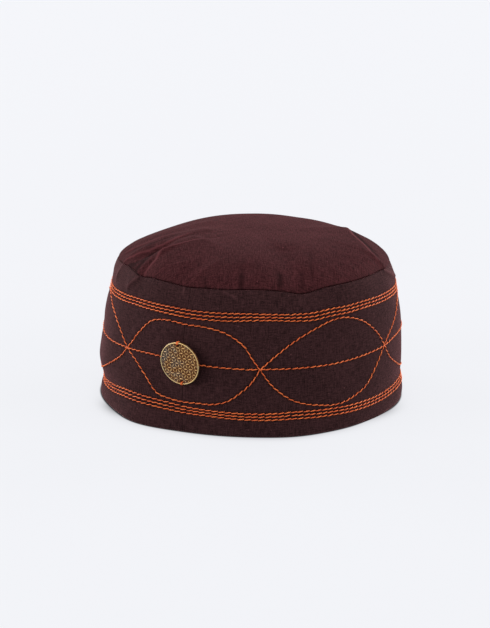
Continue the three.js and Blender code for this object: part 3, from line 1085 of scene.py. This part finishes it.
def make_band(size):
    """The band as a closed ring: its cross-section carried round the cap."""
    angles = band_angles()
    section = band_section(size)
    share, offset, inset = (column[:, None] for column in section.T)
    angle = angles[None, :]
    height = share * seam_height(size, angle) + offset
    outward = (inset < size.band_cloth / 2).astype(float)
    rings, waves = row_distances(size, angle, height)
    relief = band_relief(size, angle, height, rings, waves) * outward
    radius = band_radius(size, angle, np.clip(height / seam_height(size, angle), 0, 1))
    join = (angle - JOIN_ANGLE) * math.radians(1) * size.band_radius + 0 * height
    step = JOIN_STEP * np.tanh(join / JOIN_EDGE) * np.exp(-((join / JOIN_FADE) ** 2))
    points = around_axis(angle, radius + relief + step * outward - inset, height)
    # The crease tone: painted highlight on ridges and painted shade in valleys; the hem's is wear
    crease = band_creases(size, angle, height / seam_height(size, angle))[1] * outward
    hem = HEM_WEAR * np.exp(-((height / HEM_REACH) ** 2)) * outward
    # The seam's painted shade on the lip and in the groove behind it
    lip = np.exp(-(((seam_height(size, angle) - height) / SEAM_REACH) ** 2)) * (inset > LIP_INSET)
    lip = np.where(inset > DEEP_INSET, share == 1, lip) * seam_show(angle)
    cloth_map = np.stack([np.radians(angle) * size.band_radius + 0 * height, height + inset], -1)
    ring_map = np.stack([ring_stitches(size) * (angle + 180) / 360 + 0 * height, 0 * height], -1)
    wave_map = np.stack([wave_counts(size, angles, k)[None, :] + 0 * height for k in (0, 1)], -1)
    # Painted shade along the rows of stitches
    shade = row_shade(rings, waves) * outward
    closed = slice(None, -1)
    inside = (1 - outward[..., None]) * FAR
    rows, columns = points.shape[0], points.shape[1] - 1
    maps = [(name, ring_corners(np.concatenate([m, m[:1]])))
            for name, m in (("cloth", cloth_map), ("ring_count", ring_map), ("wave_counts", wave_map))]
    return make_object(
        "cap_band", points[:, closed], ring_faces(rows, columns, True), maps,
        [("rings", "FLOAT_VECTOR", (rings / MM + inside)[:, closed]),
         ("waves", "FLOAT_VECTOR", (waves / MM + inside)[:, closed]),
         ("join", "FLOAT", (join / MM + inside[..., 0])[:, closed]),
         ("seam", "FLOAT", lip[:, closed]),
         ("shade", "FLOAT", shade[:, closed]),
         ("crease", "FLOAT", np.clip(crease + hem, -1, 1)[:, closed])])


# Crown

# The crown's edge where it is tucked in behind the band's lip: inset from the band's outer face,
# and lift above the seam
TUCK = table("inset lift", [
    (1.10 * MM, 0.30 * MM),
    (1.50 * MM, 0.05 * MM),
    (1.75 * MM, -0.20 * MM),
    (1.90 * MM, -0.75 * MM),
])

# How far the outer face is lifted at its very edge, and how close to the edge it stays
CROWN_LIFT = 0.35 * MM
LIFT_POWER = 30

# The columns of the crown's mesh, and the rows of its outer and inner faces
CROWN_COLUMNS = 540
CROWN_ROWS = 144
CROWN_INNER_ROWS = 30

# How dark the crown's painted shade at the seam is, and how far up from it it reaches
SEAM_SHADE = 0.8
SEAM_SHADE_REACH = 0.9 * MM


def crown_surface(size, angle, out, inset):
    """A point of the crown: out runs from 0 in the middle to 1 at the seam. Its height is the sum of
    the seam's, a puff that falls from the middle to the edge as a power of out, its folds, which
    die out close to the seam, and its gathers. The outer face, whose inset is 0, also has a small
    lift at its edge."""
    step = CROWN_STEP * (LEAST_STEP + (1 - LEAST_STEP) * seam_show(angle))
    radius = out * (band_radius(size, angle, np.ones(np.shape(angle))) - step - inset)
    puff = (size.crown_rise - inset) * np.maximum(1 - out**EDGE_POWER, 0) ** SHOULDER_POWER
    x, y = out * np.sin(np.radians(angle)), -out * np.cos(np.radians(angle))
    folds = crown_fold_rise(x, y)
    seam = size.band_height + (seam_height(size, angle) - size.band_height) * out**2
    held = 1 - out**HOLD_POWER
    height = seam + SEAM_GAP + puff + size.crown_rise * held * folds + crown_gathers(angle, out)
    if inset == 0:
        height = height + CROWN_LIFT * out**LIFT_POWER
    return around_axis(angle, radius, height)


# How high the gathers stand, and where their belt is and how wide, as shares of the way out
GATHER_RISE = 0.13 * MM
GATHER_PLACE = 0.93
GATHER_WIDTH = 0.05


def crown_gathers(angle, out):
    """Small puckers where the crown is eased into the seam: two sines round the cap, with 47 and 71
    turns, in a narrow belt near the edge."""
    belt = np.exp(-(((out - GATHER_PLACE) / GATHER_WIDTH) ** 2))
    turn = np.radians(angle)
    waves = np.sin(47 * turn + 2 * np.sin(5 * turn)) + 0.7 * np.sin(71 * turn + 1.3)
    return GATHER_RISE * belt * waves


def make_crown(size):
    """The crown as a closed shell: the outer face from the middle to the edge, the edge turned
    down into the seam's groove, and the inner face back to the middle."""
    angles = np.linspace(-180, 180, CROWN_COLUMNS + 1)[None, :]
    outs = np.sin(np.linspace(0, math.pi / 2, CROWN_ROWS))[1:, None]
    outer = crown_surface(size, angles, outs, 0)
    inner_outs = np.sin(np.linspace(math.pi / 2, 0, CROWN_INNER_ROWS))[:-1, None]
    inner = crown_surface(size, angles, inner_outs, size.crown_cloth)
    edge_radius = band_radius(size, angles, np.ones(np.shape(angles)))
    seam = seam_height(size, angles)
    edge = np.concatenate([
        around_axis(angles, edge_radius - inset, seam + lift) for inset, lift in zip(*TUCK.values())])
    points = np.concatenate([outer, edge, inner])
    x, y = outs * np.sin(np.radians(angles)), -outs * np.cos(np.radians(angles))
    crease = np.zeros(points.shape[:2])
    # The crease tone: painted highlight on ridges and painted shade in valleys
    crease[:len(outer)] = np.clip(creases(x, y, CROWN_CREASES, CROWN_LINE)[1], -1, 1)
    low = points[..., 2] - seam
    # Painted shade on the crown along the seam
    shade = SEAM_SHADE * np.exp(-((np.maximum(low, 0) / SEAM_SHADE_REACH) ** 2)) * seam_show(angles)
    shade[len(outer) + len(edge):] = 0
    rows, columns = points.shape[0], points.shape[1] - 1
    body = points[:, :-1].reshape(-1, 3)
    poles = np.stack([crown_surface(size, 0.0, 0.0, inset) for inset in (0, size.crown_cloth)])
    quads = ring_faces(rows, columns, False)[:, ::-1]
    corners = ring_corners(points[..., :2]).reshape(-1, 4, 2)[:, ::-1]
    j = np.arange(columns)
    right = (j + 1) % columns
    last = (rows - 1) * columns
    first_pole = np.stack([np.full(columns, rows * columns), j, right], -1)
    last_pole = np.stack([np.full(columns, rows * columns + 1), last + right, last + j], -1)
    everything = np.concatenate([body, poles.reshape(-1, 3)])
    fans = np.concatenate([first_pole, last_pole])
    corner_values = np.concatenate([corners.reshape(-1, 2), everything[fans.ravel(), :2]])
    tones, shades = (np.concatenate([v[:, :-1].ravel(), [0, 0]]) for v in (crease, shade))
    return make_object("cap_crown", everything, [*quads.tolist(), *fans.tolist()],
                       [("cloth", corner_values)],
                       [("crease", "FLOAT", tones), ("seam", "FLOAT", shades)])


# Embroidery

# A stitch's points along and round it, how far it leans, arches over the cloth and sinks in at its
# ends, and how far it reaches past its own length, as a share of it
STITCH_STATIONS = 9
STITCH_SIDES = 6
STITCH_SLANT = 0.28 * MM
STITCH_ARCH = 0.3 * MM
STITCH_SINK = 0.35 * MM
STITCH_OVERLAP = 0.06

# The height of the cloth's side of a stitch, and how far its round ends reach, as shares of its radius
STITCH_SEAT = 0.25
TIP_REACH = 0.6

# A stitch's radius at its ends and how much it gains in the middle, as shares of the thread's, and
# the powers that shape its swelling, its arch and its sinking ends
END_RADIUS = 0.6
RADIUS_GAIN = 0.45
SWELL_POWER = 0.8
ARCH_POWER = 0.7
SINK_POWER = 2.5

# The turn, in degrees, after which a row's direction is measured
AHEAD_TURN = 0.3

# How much stitches differ: the spreads of their places, in stitches, and of their slants and radii,
# and how far apart the seeds of two pieces of embroidery are
PLACE_SPREAD = 0.045
SLANT_SPREAD = 0.18
RADIUS_SPREAD = 0.05
SEED_STEP = 10


def tube_mesh(name, centres, outward, radius, dip, seed):
    """Many round-ended tubes in one mesh. centres holds a row of stations for each tube, outward a
    direction at each of them, and radius and dip a number for each. A tube's points are its centre
    line's plus its radius times the cosine and sine of the angle round it, along two directions
    that are square to the line, and each end closes on a point. dip says how deep in the cloth a
    station lies, from 0 to 1, and sets how dark the thread's painted shade is there."""
    tubes, stations = centres.shape[:2]
    along = unit(np.gradient(centres, axis=1))
    side = unit(np.cross(along, outward))
    normal = np.cross(side, along)
    turn = np.arange(STITCH_SIDES) * 2 * math.pi / STITCH_SIDES
    ring = (np.cos(turn)[:, None] * normal[:, :, None, :] + np.sin(turn)[:, None] * side[:, :, None, :])
    walls = centres[:, :, None, :] + radius[..., None, None] * ring
    ends = np.stack([centres[:, 0] - along[:, 0] * radius[:, :1] * TIP_REACH,
                     centres[:, -1] + along[:, -1] * radius[:, -1:] * TIP_REACH], 1)
    points = np.concatenate([walls.reshape(tubes, -1, 3), ends], 1)
    quads = ring_faces(stations, STITCH_SIDES, False)
    j = np.arange(STITCH_SIDES)
    right = (j + 1) % STITCH_SIDES
    start, stop = stations * STITCH_SIDES, stations * STITCH_SIDES + 1
    last = (stations - 1) * STITCH_SIDES
    fans = np.concatenate([np.stack([np.full_like(j, start), right, j], -1),
                           np.stack([np.full_like(j, stop), last + j, last + right], -1)])
    first = np.arange(tubes)[:, None, None] * points.shape[1]
    faces = [*(quads + first).reshape(-1, 4).tolist(), *(fans + first).reshape(-1, 3).tolist()]
    length = np.concatenate(
        [np.zeros((tubes, 1)), np.cumsum(np.linalg.norm(np.diff(centres, axis=1), axis=-1), 1)], 1)
    around = np.arange(STITCH_SIDES + 1) / STITCH_SIDES
    grid = np.stack(np.broadcast_arrays(length[:, :, None], around[None, None, :]), -1)
    wall_corners = np.concatenate([ring_corners(one) for one in grid])
    tips = np.stack([np.repeat(length[:, [0]], STITCH_SIDES * 3, 1),
                     np.repeat(length[:, [-1]], STITCH_SIDES * 3, 1)], 1).reshape(-1)
    tip_corners = np.stack([tips, np.zeros_like(tips)], -1)
    tones = np.random.default_rng(seed).uniform(0, 1, tubes)
    dips = np.concatenate([np.repeat(dip, STITCH_SIDES, 1), dip[:, [0, -1]]], 1)
    return make_object(name, points, faces, [("thread", np.concatenate([wall_corners, tip_corners]))],
                       [("tone", "FLOAT", np.repeat(tones, points.shape[1])),
                        ("dip", "FLOAT", dips)])


def row_stitches(size, height_at, counts_at, seed):
    """The stitches of one row. The row is measured along the band's surface in counts of stitches.
    A stitch comes up out of one needle hole, leans up to the right as it goes, arches over the
    cloth as a power of a sine and goes down the next hole. It is thickest in the middle, and its
    dip, which sets its painted shade, is deepest at the hole that it comes out of."""
    counts = counts_at(FINE_ANGLES)
    number = round(counts[-1])
    s = np.linspace(0, 1, STITCH_STATIONS)[None, :]
    random = np.random.default_rng(seed)
    jitter = random.normal(0, PLACE_SPREAD, (number, 1))
    slant = STITCH_SLANT * (1 + random.normal(0, SLANT_SPREAD, (number, 1)))
    place = np.arange(number)[:, None] + jitter - STITCH_OVERLAP + s * (1 + 2 * STITCH_OVERLAP)
    angle = np.interp(place % counts[-1], counts, FINE_ANGLES)
    point, normal, along = band_frame(size, angle, height_at(angle))
    ahead = band_surface(size, angle + AHEAD_TURN, height_at(angle + AHEAD_TURN))
    travel = unit(ahead - point)
    up = np.cross(normal, travel)
    arch = np.maximum(np.sin(math.pi * s), 0)
    sink = STITCH_SINK * (1 - arch) ** SINK_POWER
    out = size.thread_radius * STITCH_SEAT + STITCH_ARCH * arch**ARCH_POWER - sink
    lean = slant * np.sin(math.pi * (s - 0.5))
    centres = point + normal * out[..., None] + up * lean[..., None]
    swell = 1 + random.normal(0, RADIUS_SPREAD, (number, 1))
    radius = size.thread_radius * (END_RADIUS + RADIUS_GAIN * arch**SWELL_POWER) * swell
    # The dip sets the thread's painted shade at its ends
    dip = np.maximum(1 - 1.9 * s, 0) ** 1.3 + 0.5 * np.maximum(7 * s - 6, 0)
    return centres, normal, radius, np.broadcast_to(dip, radius.shape)


def make_stitches(size, name, rows, seed):
    """One piece of embroidery from rows of (function of heights, function of counts)."""
    made = [row_stitches(size, *row, seed + k) for k, row in enumerate(rows)]
    return tube_mesh(name, *(np.concatenate(column) for column in zip(*made)), seed)


def ring_rows(size, ring, steps):
    """Rows of a stitched ring, one for each step up from its middle row."""
    number = ring_stitches(size)

    def row(k):
        def height_at(angle):
            spread = k * ring_height(size, angle, ring + "_step") if k else 0.0
            return ring_height(size, angle, ring) + spread

        return height_at, lambda angle: number * (angle + 180) / 360

    return [row(k) for k in steps]


def wave_row(size, wave):
    """The row of one of the two waves."""
    return lambda angle: wave_height(size, angle, wave), lambda angle: wave_counts(size, angle, wave)


# Disc


def disc_frame(size):
    """The disc's middle, on its back, and its three directions: along, up and outward. It hangs
    against the band and faces a little to the left and down, as far out as the band reaches under
    it and a small gap further."""
    seam = float(seam_height(size, DISC_ANGLE))
    share = DISC_HEIGHT / seam
    reach_share = size.disc_radius / size.band_height
    reach_angle = math.degrees(size.disc_radius / size.band_radius)

    def place(angle, at):
        angle, at = np.asarray(angle, float), np.asarray(at, float)
        return around_axis(angle, band_radius(size, angle, at), at * seam_height(size, angle))

    drop = math.radians(DISC_DROP)
    outward = around_axis(DISC_FACING, math.cos(drop), -math.sin(drop))
    along = around_axis(DISC_FACING + 90, 1.0, 0.0)
    up = np.cross(outward, along)
    middle = place(DISC_ANGLE, share)
    steps = np.linspace(-1, 1, 9)
    angles, shares = np.meshgrid(DISC_ANGLE + steps * reach_angle, share + steps * reach_share)
    reach = ((place(angles, shares) - middle) @ outward).max()
    lean = math.radians(DISC_LEAN)
    right = math.cos(lean) * along + math.sin(lean) * up
    top = math.cos(lean) * up - math.sin(lean) * along
    return middle + outward * (reach + DISC_GAP), np.stack([right, top, outward])


def hole_offset(size):
    """How far the disc's two sewing holes are from its middle."""
    return size.disc_radius - DISC_RIM_WIDTH - DISC_HOLE_MARGIN - DISC_HOLE_RADIUS


def petal_share(size, x, y):
    """How high the ornament stands, from 0 to 1. Circles of one grid step round every point of a
    triangular grid overlap, and a petal is where four of them do: its height grows with how far
    inside the fourth circle a point is."""
    rings = math.ceil(size.disc_radius / GRID_STEP) + 2
    i, j = np.meshgrid(np.arange(-rings, rings + 1), np.arange(-rings, rings + 1))
    centres_x = (GRID_STEP * (i + j / 2)).ravel()
    centres_y = (GRID_STEP * math.sin(math.radians(60)) * j).ravel()
    distance = np.hypot(x[..., None] - centres_x, y[..., None] - centres_y)
    fourth = np.partition(distance, 3, axis=-1)[..., 3]
    depth = (GRID_STEP - fourth) / (GRID_STEP * (1 - math.cos(math.radians(30))))
    inside = np.clip(depth * PETAL_STEEPNESS - PETAL_THINNING, 0, 1)
    return np.sqrt(1 - (1 - inside) ** 2)


NEARLY_ZERO = 1e-9


def disc_map(steps):
    """A square grid pressed into a round one: each square ring becomes a circle of its size."""
    a, b = np.meshgrid(np.linspace(-1, 1, steps), np.linspace(-1, 1, steps))
    a, b = (np.where(c == 0, NEARLY_ZERO, c) for c in (a, b))
    wide = abs(a) > abs(b)
    radius = np.where(wide, a, b)
    turn = np.where(wide, math.pi / 4 * b / a, math.pi / 2 - math.pi / 4 * a / b)
    return radius * np.cos(turn), radius * np.sin(turn)


def disc_height(size, x, y):
    """The disc's face above its back, and its relief from 0 to 1: the plate, whose outer edge falls
    away, its ornament, which fades at the rim and round the holes, and a rim that is a half round
    across."""
    radius = np.hypot(x, y)
    rim_middle = size.disc_radius - DISC_RIM_WIDTH / 2
    across = np.clip(abs(radius - rim_middle) / (DISC_RIM_WIDTH / 2), 0, 1)
    rim = np.sqrt(1 - across**2)
    field = np.clip((rim_middle - DISC_RIM_WIDTH / 2 - radius) / PETAL_FADE, 0, 1)
    petals = petal_share(size, x, y) * field
    for side in (-1, 1):
        edge = np.hypot(x, y - side * hole_offset(size)) - DISC_HOLE_RADIUS
        petals = petals * np.clip(edge / HOLE_FADE, 0, 1)
    height = DISC_PLATE + PETAL_HEIGHT * petals + DISC_RIM_HEIGHT * rim
    outer = np.clip((radius - rim_middle) / (DISC_RIM_WIDTH / 2), 0, 1)
    height = height - DISC_PLATE * DISC_EDGE_FALL * outer**4
    relief = np.maximum(PETAL_RELIEF * petals, RIM_RELIEF * (1 - across**2))
    return height, np.clip(relief, 0, 1)


DISC_STEPS = 161
BACK_INSET = 0.15 * MM


def make_disc(size):
    """The disc: its face as a round grid, a back of the same outline, and two holes cut through."""
    x, y = (c * size.disc_radius for c in disc_map(DISC_STEPS))
    height, relief = disc_height(size, x, y)
    inner = 1 - BACK_INSET / size.disc_radius
    face = np.stack([x, y, height], -1).reshape(-1, 3)
    index = np.arange(DISC_STEPS**2).reshape(DISC_STEPS, DISC_STEPS)
    squares = np.stack([index[:-1, :-1], index[:-1, 1:], index[1:, 1:], index[1:, :-1]], -1)
    border = np.concatenate([index[0, :-1], index[:-1, -1], index[-1, :0:-1], index[:0:-1, 0]])
    back = face[border] * (inner, inner, 0)
    below = len(face) + np.arange(len(border))
    side = np.stack([below, np.roll(below, -1), np.roll(border, -1), border], -1)
    faces = [*squares.reshape(-1, 4).tolist(), *side.tolist(), below[::-1].tolist()]
    middle, axes = disc_frame(size)
    points = np.concatenate([face, back]) @ axes + middle
    beyond = np.zeros(len(border))
    cool = np.clip(COOL_START - x / size.disc_radius, 0, 1)
    disc = make_object("brass_disc", points, faces, (), [
        ("relief", "FLOAT", np.concatenate([relief.ravel(), beyond])),
        ("cool", "FLOAT", np.concatenate([cool.ravel(), beyond]))])
    for sign in (-1, 1):
        cut_hole(disc, np.array([0, sign * hole_offset(size), 0]) @ axes + middle, axes)
    return disc


# The cutter's sides, and its ends below and above the disc's back
HOLE_SIDES = 24
CUTTER_ENDS = (-1 * MM, 3 * MM)


def cut_hole(piece, middle, axes):
    """Cuts one sewing hole through the disc with a round cutter that reaches past both its faces."""
    j = np.arange(HOLE_SIDES)
    turn = j * 2 * math.pi / HOLE_SIDES
    ring = np.stack([np.cos(turn), np.sin(turn)], -1) * DISC_HOLE_RADIUS
    low, high = (np.insert(ring, 2, level, 1) for level in CUTTER_ENDS)
    right = (j + 1) % HOLE_SIDES
    wall = np.stack([j, right, right + HOLE_SIDES, j + HOLE_SIDES], -1)
    faces = [*wall.tolist(), j[::-1].tolist(), (j + HOLE_SIDES).tolist()]
    cutter = make_object("hole_cutter", np.concatenate([low, high]) @ axes + middle, faces)
    modifier = piece.modifiers.new("hole", "BOOLEAN")
    modifier.object = cutter
    modifier.operation = "DIFFERENCE"
    modifier.solver = "EXACT"
    with bpy.context.temp_override(object=piece, active_object=piece):
        bpy.ops.object.modifier_apply(modifier="hole")
    bpy.data.objects.remove(cutter)


# Disc ties

# The path of a strand through a hole and over the rim: distance out from the hole's middle and
# height above the disc's back, in millimetres, and reach, the share of the way back to the cloth
TIE_PATH = table("out height reach", [
    (0.72, -0.60, 0.3),
    (0.74, 0.30, 0.0),
    (0.80, 0.95, 0.0),
    (0.98, 1.40, 0.0),
    (1.28, 1.66, 0.0),
    (1.65, 1.60, 0.0),
    (1.98, 1.20, 0.0),
    (2.10, 0.55, 0.0),
    (1.90, 0.00, 0.0),
    (1.35, -0.40, 0.1),
    (0.80, -0.50, 0.6),
    (0.60, -0.50, 1.0),
])

# The points along a strand, its thickness against that of the thread, how far two strands are apart,
# and how far they lean, drift and turn to the side, as make_tie says
TIE_STATIONS = 26
TIE_THICKNESS = 1.1
TIE_SPREAD = 0.26 * MM
TIE_LEAN = 0.05
TIE_DRIFT = 0.6
TIE_TURN = 0.3
TIE_SEED = 90
TIES = (("disc_tie_top", 1), ("disc_tie_bottom", -1))


def make_tie(size, name, side):
    """Two strands side by side from a hole over the disc's rim and back into the cloth, each along
    the smooth curve through TIE_PATH. side is 1 for the upper hole and -1 for the lower. The
    strands go left by TIE_LEAN for each step out, and by the share TIE_DRIFT of their way back,
    which keeps them out of sight. The sides of a strand are turned by TIE_TURN towards its own
    end of the disc."""
    middle, axes = disc_frame(size)
    stations = np.linspace(0, 1, TIE_STATIONS)
    rows = {"at": np.linspace(0, 1, len(TIE_PATH["out"])), **TIE_PATH}
    out = through_rows(rows, "out", stations) * MM
    height = through_rows(rows, "height", stations) * MM
    end = middle + axes[1] * side * (hole_offset(size) + out[-1])
    wall = band_surface(size, math.degrees(math.atan2(end[0], -end[1])), end[2])
    back = ((wall - end) @ axes[2]) * through_rows(rows, "reach", stations)
    strands = []
    for spread in (-TIE_SPREAD, TIE_SPREAD):
        across = spread - TIE_LEAN * out + TIE_DRIFT * back
        local = np.stack([across, side * (hole_offset(size) + out), height + back], -1)
        strands.append(local @ axes + middle)
    centres = np.stack(strands)
    outward = np.broadcast_to(axes[2], centres.shape) + TIE_TURN * side * axes[1]
    radius = np.full(centres.shape[:2], size.thread_radius * TIE_THICKNESS)
    return tube_mesh(name, centres, outward, radius, 0 * radius, size.seed + TIE_SEED + side)


# Stage

CAMERA_PLACE = (0.0, -1801 * MM, 575 * MM)
CAMERA_PITCH = 16.26
CAMERA_PAN = -0.14
CAMERA_ROLL = 0.69
FOCAL_PIXELS = 2997.0
PHOTO_HEIGHT_PIXELS = 628.0
SENSOR_WIDTH = 36.0

# Soft boxes: where they stand, their width and height in metres, and their power in watts
LIGHTS = table("x y z width height power", [
    (-2.0, -0.7, 0.9, 1.4, 1.4, 32.0),
    (2.0, -0.7, 0.9, 1.4, 1.4, 28.0),
    (-1.9, 1.5, 0.7, 1.2, 1.2, 40.0),
    (1.9, 1.5, 0.7, 1.2, 1.2, 42.0),
    (0.0, 2.2, 1.3, 2.4, 1.2, 15.0),
    (0.2, -2.4, 1.7, 1.6, 1.2, 9.0),
])
LIGHTS_LOOK_AT = Vector((0, 0, 50 * MM))
WORLD_COLOUR = (0.93, 0.95, 1.0, 1.0)
WORLD_STRENGTH = 0.4
FLOOR_GLOW = 0.91
FLOOR_SHARE = 0.08

# The floor's rings of points, in millimetres out from the hem
FLOOR_RINGS = (-40, -10, -4, -1, 0, 0.3, 0.6, 0.9, 1.3, 2, 3, 4, 5, 6, 8, 10, 14, 20, 60, 400, 12000)
FLOOR_COLUMNS = 192

# The painted dark line of shadow where the hem meets the floor, and the painted soft shadow beyond it:
# its spread, and how deep it is, the sum of bell curves of the angle
CONTACT_LINE = 0.6 * MM
CONTACT_SPREAD = 4.5 * MM
CONTACTS = table("angle spread depth", [
    (0, 60, 0.28),
    (-64, 9, 0.50),
    (62, 10, 0.35),
])


def make_camera():
    """The camera that took the picture: its place, its direction from the angles, and its lens from
    the focal length in pixels of the picture's long side."""
    pitch, pan, roll = (math.radians(a) for a in (CAMERA_PITCH, CAMERA_PAN, CAMERA_ROLL))
    forward = Vector((math.sin(pan) * math.cos(pitch), math.cos(pan) * math.cos(pitch), -math.sin(pitch)))
    level = Vector((math.cos(pan), -math.sin(pan), 0.0))
    upright = level.cross(forward)
    right = level * math.cos(roll) + upright * math.sin(roll)
    up = upright * math.cos(roll) - level * math.sin(roll)
    camera = bpy.data.objects.new("camera", bpy.data.cameras.new("camera"))
    camera.matrix_world = Matrix((
        (right.x, up.x, -forward.x, CAMERA_PLACE[0]),
        (right.y, up.y, -forward.y, CAMERA_PLACE[1]),
        (right.z, up.z, -forward.z, CAMERA_PLACE[2]),
        (0, 0, 0, 1),
    ))
    camera.data.sensor_width = SENSOR_WIDTH
    camera.data.lens = FOCAL_PIXELS * SENSOR_WIDTH / PHOTO_HEIGHT_PIXELS
    bpy.context.scene.collection.objects.link(camera)
    bpy.context.scene.camera = camera


def make_lights():
    """Soft boxes that look at the middle of the cap, and an even pale surround."""
    for k, (x, y, z, width, height, power) in enumerate(zip(*LIGHTS.values())):
        light = bpy.data.lights.new(f"softbox_{k + 1}", "AREA")
        light.shape = "RECTANGLE"
        light.size, light.size_y, light.energy = width, height, power
        holder = bpy.data.objects.new(light.name, light)
        holder.location = (x, y, z)
        holder.rotation_euler = (LIGHTS_LOOK_AT - holder.location).to_track_quat("-Z", "Y").to_euler()
        bpy.context.scene.collection.objects.link(holder)
    world = bpy.data.worlds.new("surround")
    bpy.context.scene.world = world
    world.use_nodes = True
    background = world.node_tree.nodes["Background"]
    background.inputs["Color"].default_value = WORLD_COLOUR
    background.inputs["Strength"].default_value = WORLD_STRENGTH


def make_floor(size, colours):
    """A wide pale floor that glows as a light table does, and dims close to the hem in a painted shadow.
    Its rows are rings at growing distances from the hem, and the painted shadow is a bell curve of that
    distance."""
    angles = np.linspace(-180, 180, FLOOR_COLUMNS + 1)[None, :-1]
    hem = band_radius(size, angles, np.zeros(angles.shape)) + band_bulge(angles, 0.0)
    distances = np.array(FLOOR_RINGS)[:, None] * MM
    depth = 0
    for middle, spread, more in zip(*CONTACTS.values()):
        depth = depth + more * np.exp(-((wrapped(angles - middle) / spread) ** 2))
    away = np.maximum(distances, 0)
    line = np.exp(-((away / CONTACT_LINE) ** 2))
    # The floor's glow with the painted contact shadow taken out of it
    glow_and_painted_shadow = (1 - line) * (1 - depth * np.exp(-((away / CONTACT_SPREAD) ** 1.5)))
    points = around_axis(angles, hem + distances, 0.0).reshape(-1, 3)
    rings = ring_faces(len(distances), FLOOR_COLUMNS, False)[:, ::-1]
    faces = [*rings.tolist(), list(range(FLOOR_COLUMNS))]
    floor = make_object("floor", points, faces, (), [("glow_and_painted_shadow", "FLOAT", glow_and_painted_shadow)])
    shader = Shader("pale_floor")
    pale = tinted(colours.floor, 1.0)
    floor.data.materials.append(shader.finish(
        Base_Color=tinted(colours.floor, FLOOR_SHARE), Roughness=0.9, Specular_IOR_Level=0.0,
        Emission_Color=shader.mix((0.0, 0.0, 0.0, 1.0), pale, shader.attribute("glow_and_painted_shadow")),
        Emission_Strength=FLOOR_GLOW))
    floor.visible_diffuse = False
    floor.visible_glossy = False


# Operators


class CAP_OT_band(Operator):
    """Make the band's cloth"""

    bl_idname = "cap.band"
    bl_label = "Band"

    def execute(self, context):
        size, colours = context.scene.cap_sizes, context.scene.cap_colours
        band = make_band(size)
        cloth = cotton("band_cotton", colours.band, BAND_SHEEN, True)
        finish_piece(band, "band_cotton", cloth, "band")
        return {"FINISHED"}


class CAP_OT_crown(Operator):
    """Make the crown's cloth"""

    bl_idname = "cap.crown"
    bl_label = "Crown"

    def execute(self, context):
        size, colours = context.scene.cap_sizes, context.scene.cap_colours
        crown = make_crown(size)
        cloth = cotton("crown_cotton", colours.crown, CROWN_SHEEN, False)
        finish_piece(crown, "crown_cotton", cloth, "crown")
        return {"FINISHED"}


class CAP_OT_embroidery(Operator):
    """Make the stitched rings and waves"""

    bl_idname = "cap.embroidery"
    bl_label = "Embroidery"

    def execute(self, context):
        size, colours = context.scene.cap_sizes, context.scene.cap_colours
        material = thread("embroidery_thread", colours.thread)
        work = {
            "stitched_ring_lower": ring_rows(size, "lower", (-1, 0, 1)),
            "stitched_ring_middle": ring_rows(size, "single", (0,)),
            "stitched_ring_upper": ring_rows(size, "upper", (-1, 0, 1)),
            "stitched_wave_a": [wave_row(size, 0)],
            "stitched_wave_b": [wave_row(size, 1)],
        }
        for k, (name, rows) in enumerate(work.items()):
            piece = make_stitches(size, name, rows, size.seed + SEED_STEP * k)
            finish_piece(piece, "embroidery_thread", material)
        return {"FINISHED"}


class CAP_OT_disc(Operator):
    """Make the brass disc"""

    bl_idname = "cap.disc"
    bl_label = "Disc"

    def execute(self, context):
        size, colours = context.scene.cap_sizes, context.scene.cap_colours
        brass = aged_brass("aged_brass", colours.brass, colours.tarnish)
        finish_piece(make_disc(size), "aged_brass", brass, "disc")
        return {"FINISHED"}


class CAP_OT_ties(Operator):
    """Make the thread loops that hold the disc"""

    bl_idname = "cap.ties"
    bl_label = "Disc ties"

    def execute(self, context):
        size, colours = context.scene.cap_sizes, context.scene.cap_colours
        material = thread("tie_thread", colours.thread)
        for tie in TIES:
            finish_piece(make_tie(size, *tie), "embroidery_thread", material)
        return {"FINISHED"}


class CAP_OT_stage(Operator):
    """Make the floor, the lights and the camera"""

    bl_idname = "cap.stage"
    bl_label = "Stage"

    def execute(self, context):
        make_floor(context.scene.cap_sizes, context.scene.cap_colours)
        make_lights()
        make_camera()
        context.scene.view_settings.view_transform = "Standard"
        return {"FINISHED"}


OPERATORS = (CAP_OT_band, CAP_OT_crown, CAP_OT_embroidery, CAP_OT_disc, CAP_OT_ties, CAP_OT_stage)


class CAP_PT_panel(Panel):
    """The cap's pieces, sizes and colours"""

    bl_idname = "CAP_PT_panel"
    bl_label = "Embroidered cap"
    bl_space_type = "VIEW_3D"
    bl_region_type = "UI"
    bl_category = "Cap"

    def draw(self, context):
        for operator in OPERATORS:
            self.layout.operator(operator.bl_idname)
        for group in (context.scene.cap_sizes, context.scene.cap_colours):
            column = self.layout.column()
            for name in group.bl_rna.properties.keys():
                if name not in ("rna_type", "name"):
                    column.prop(group, name)


CLASSES = (CapSizes, CapColours, *OPERATORS, CAP_PT_panel)


def register():
    for each in CLASSES:
        bpy.utils.register_class(each)
    bpy.types.Scene.cap_sizes = PointerProperty(type=CapSizes)
    bpy.types.Scene.cap_colours = PointerProperty(type=CapColours)


def unregister():
    del bpy.types.Scene.cap_colours
    del bpy.types.Scene.cap_sizes
    for each in reversed(CLASSES):
        bpy.utils.unregister_class(each)


def main():
    """Builds the cap piece by piece."""
    register()
    for piece in ("band", "crown", "embroidery", "disc", "ties", "stage"):
        getattr(bpy.ops.cap, piece)()


if __name__ == "__main__":
    main()
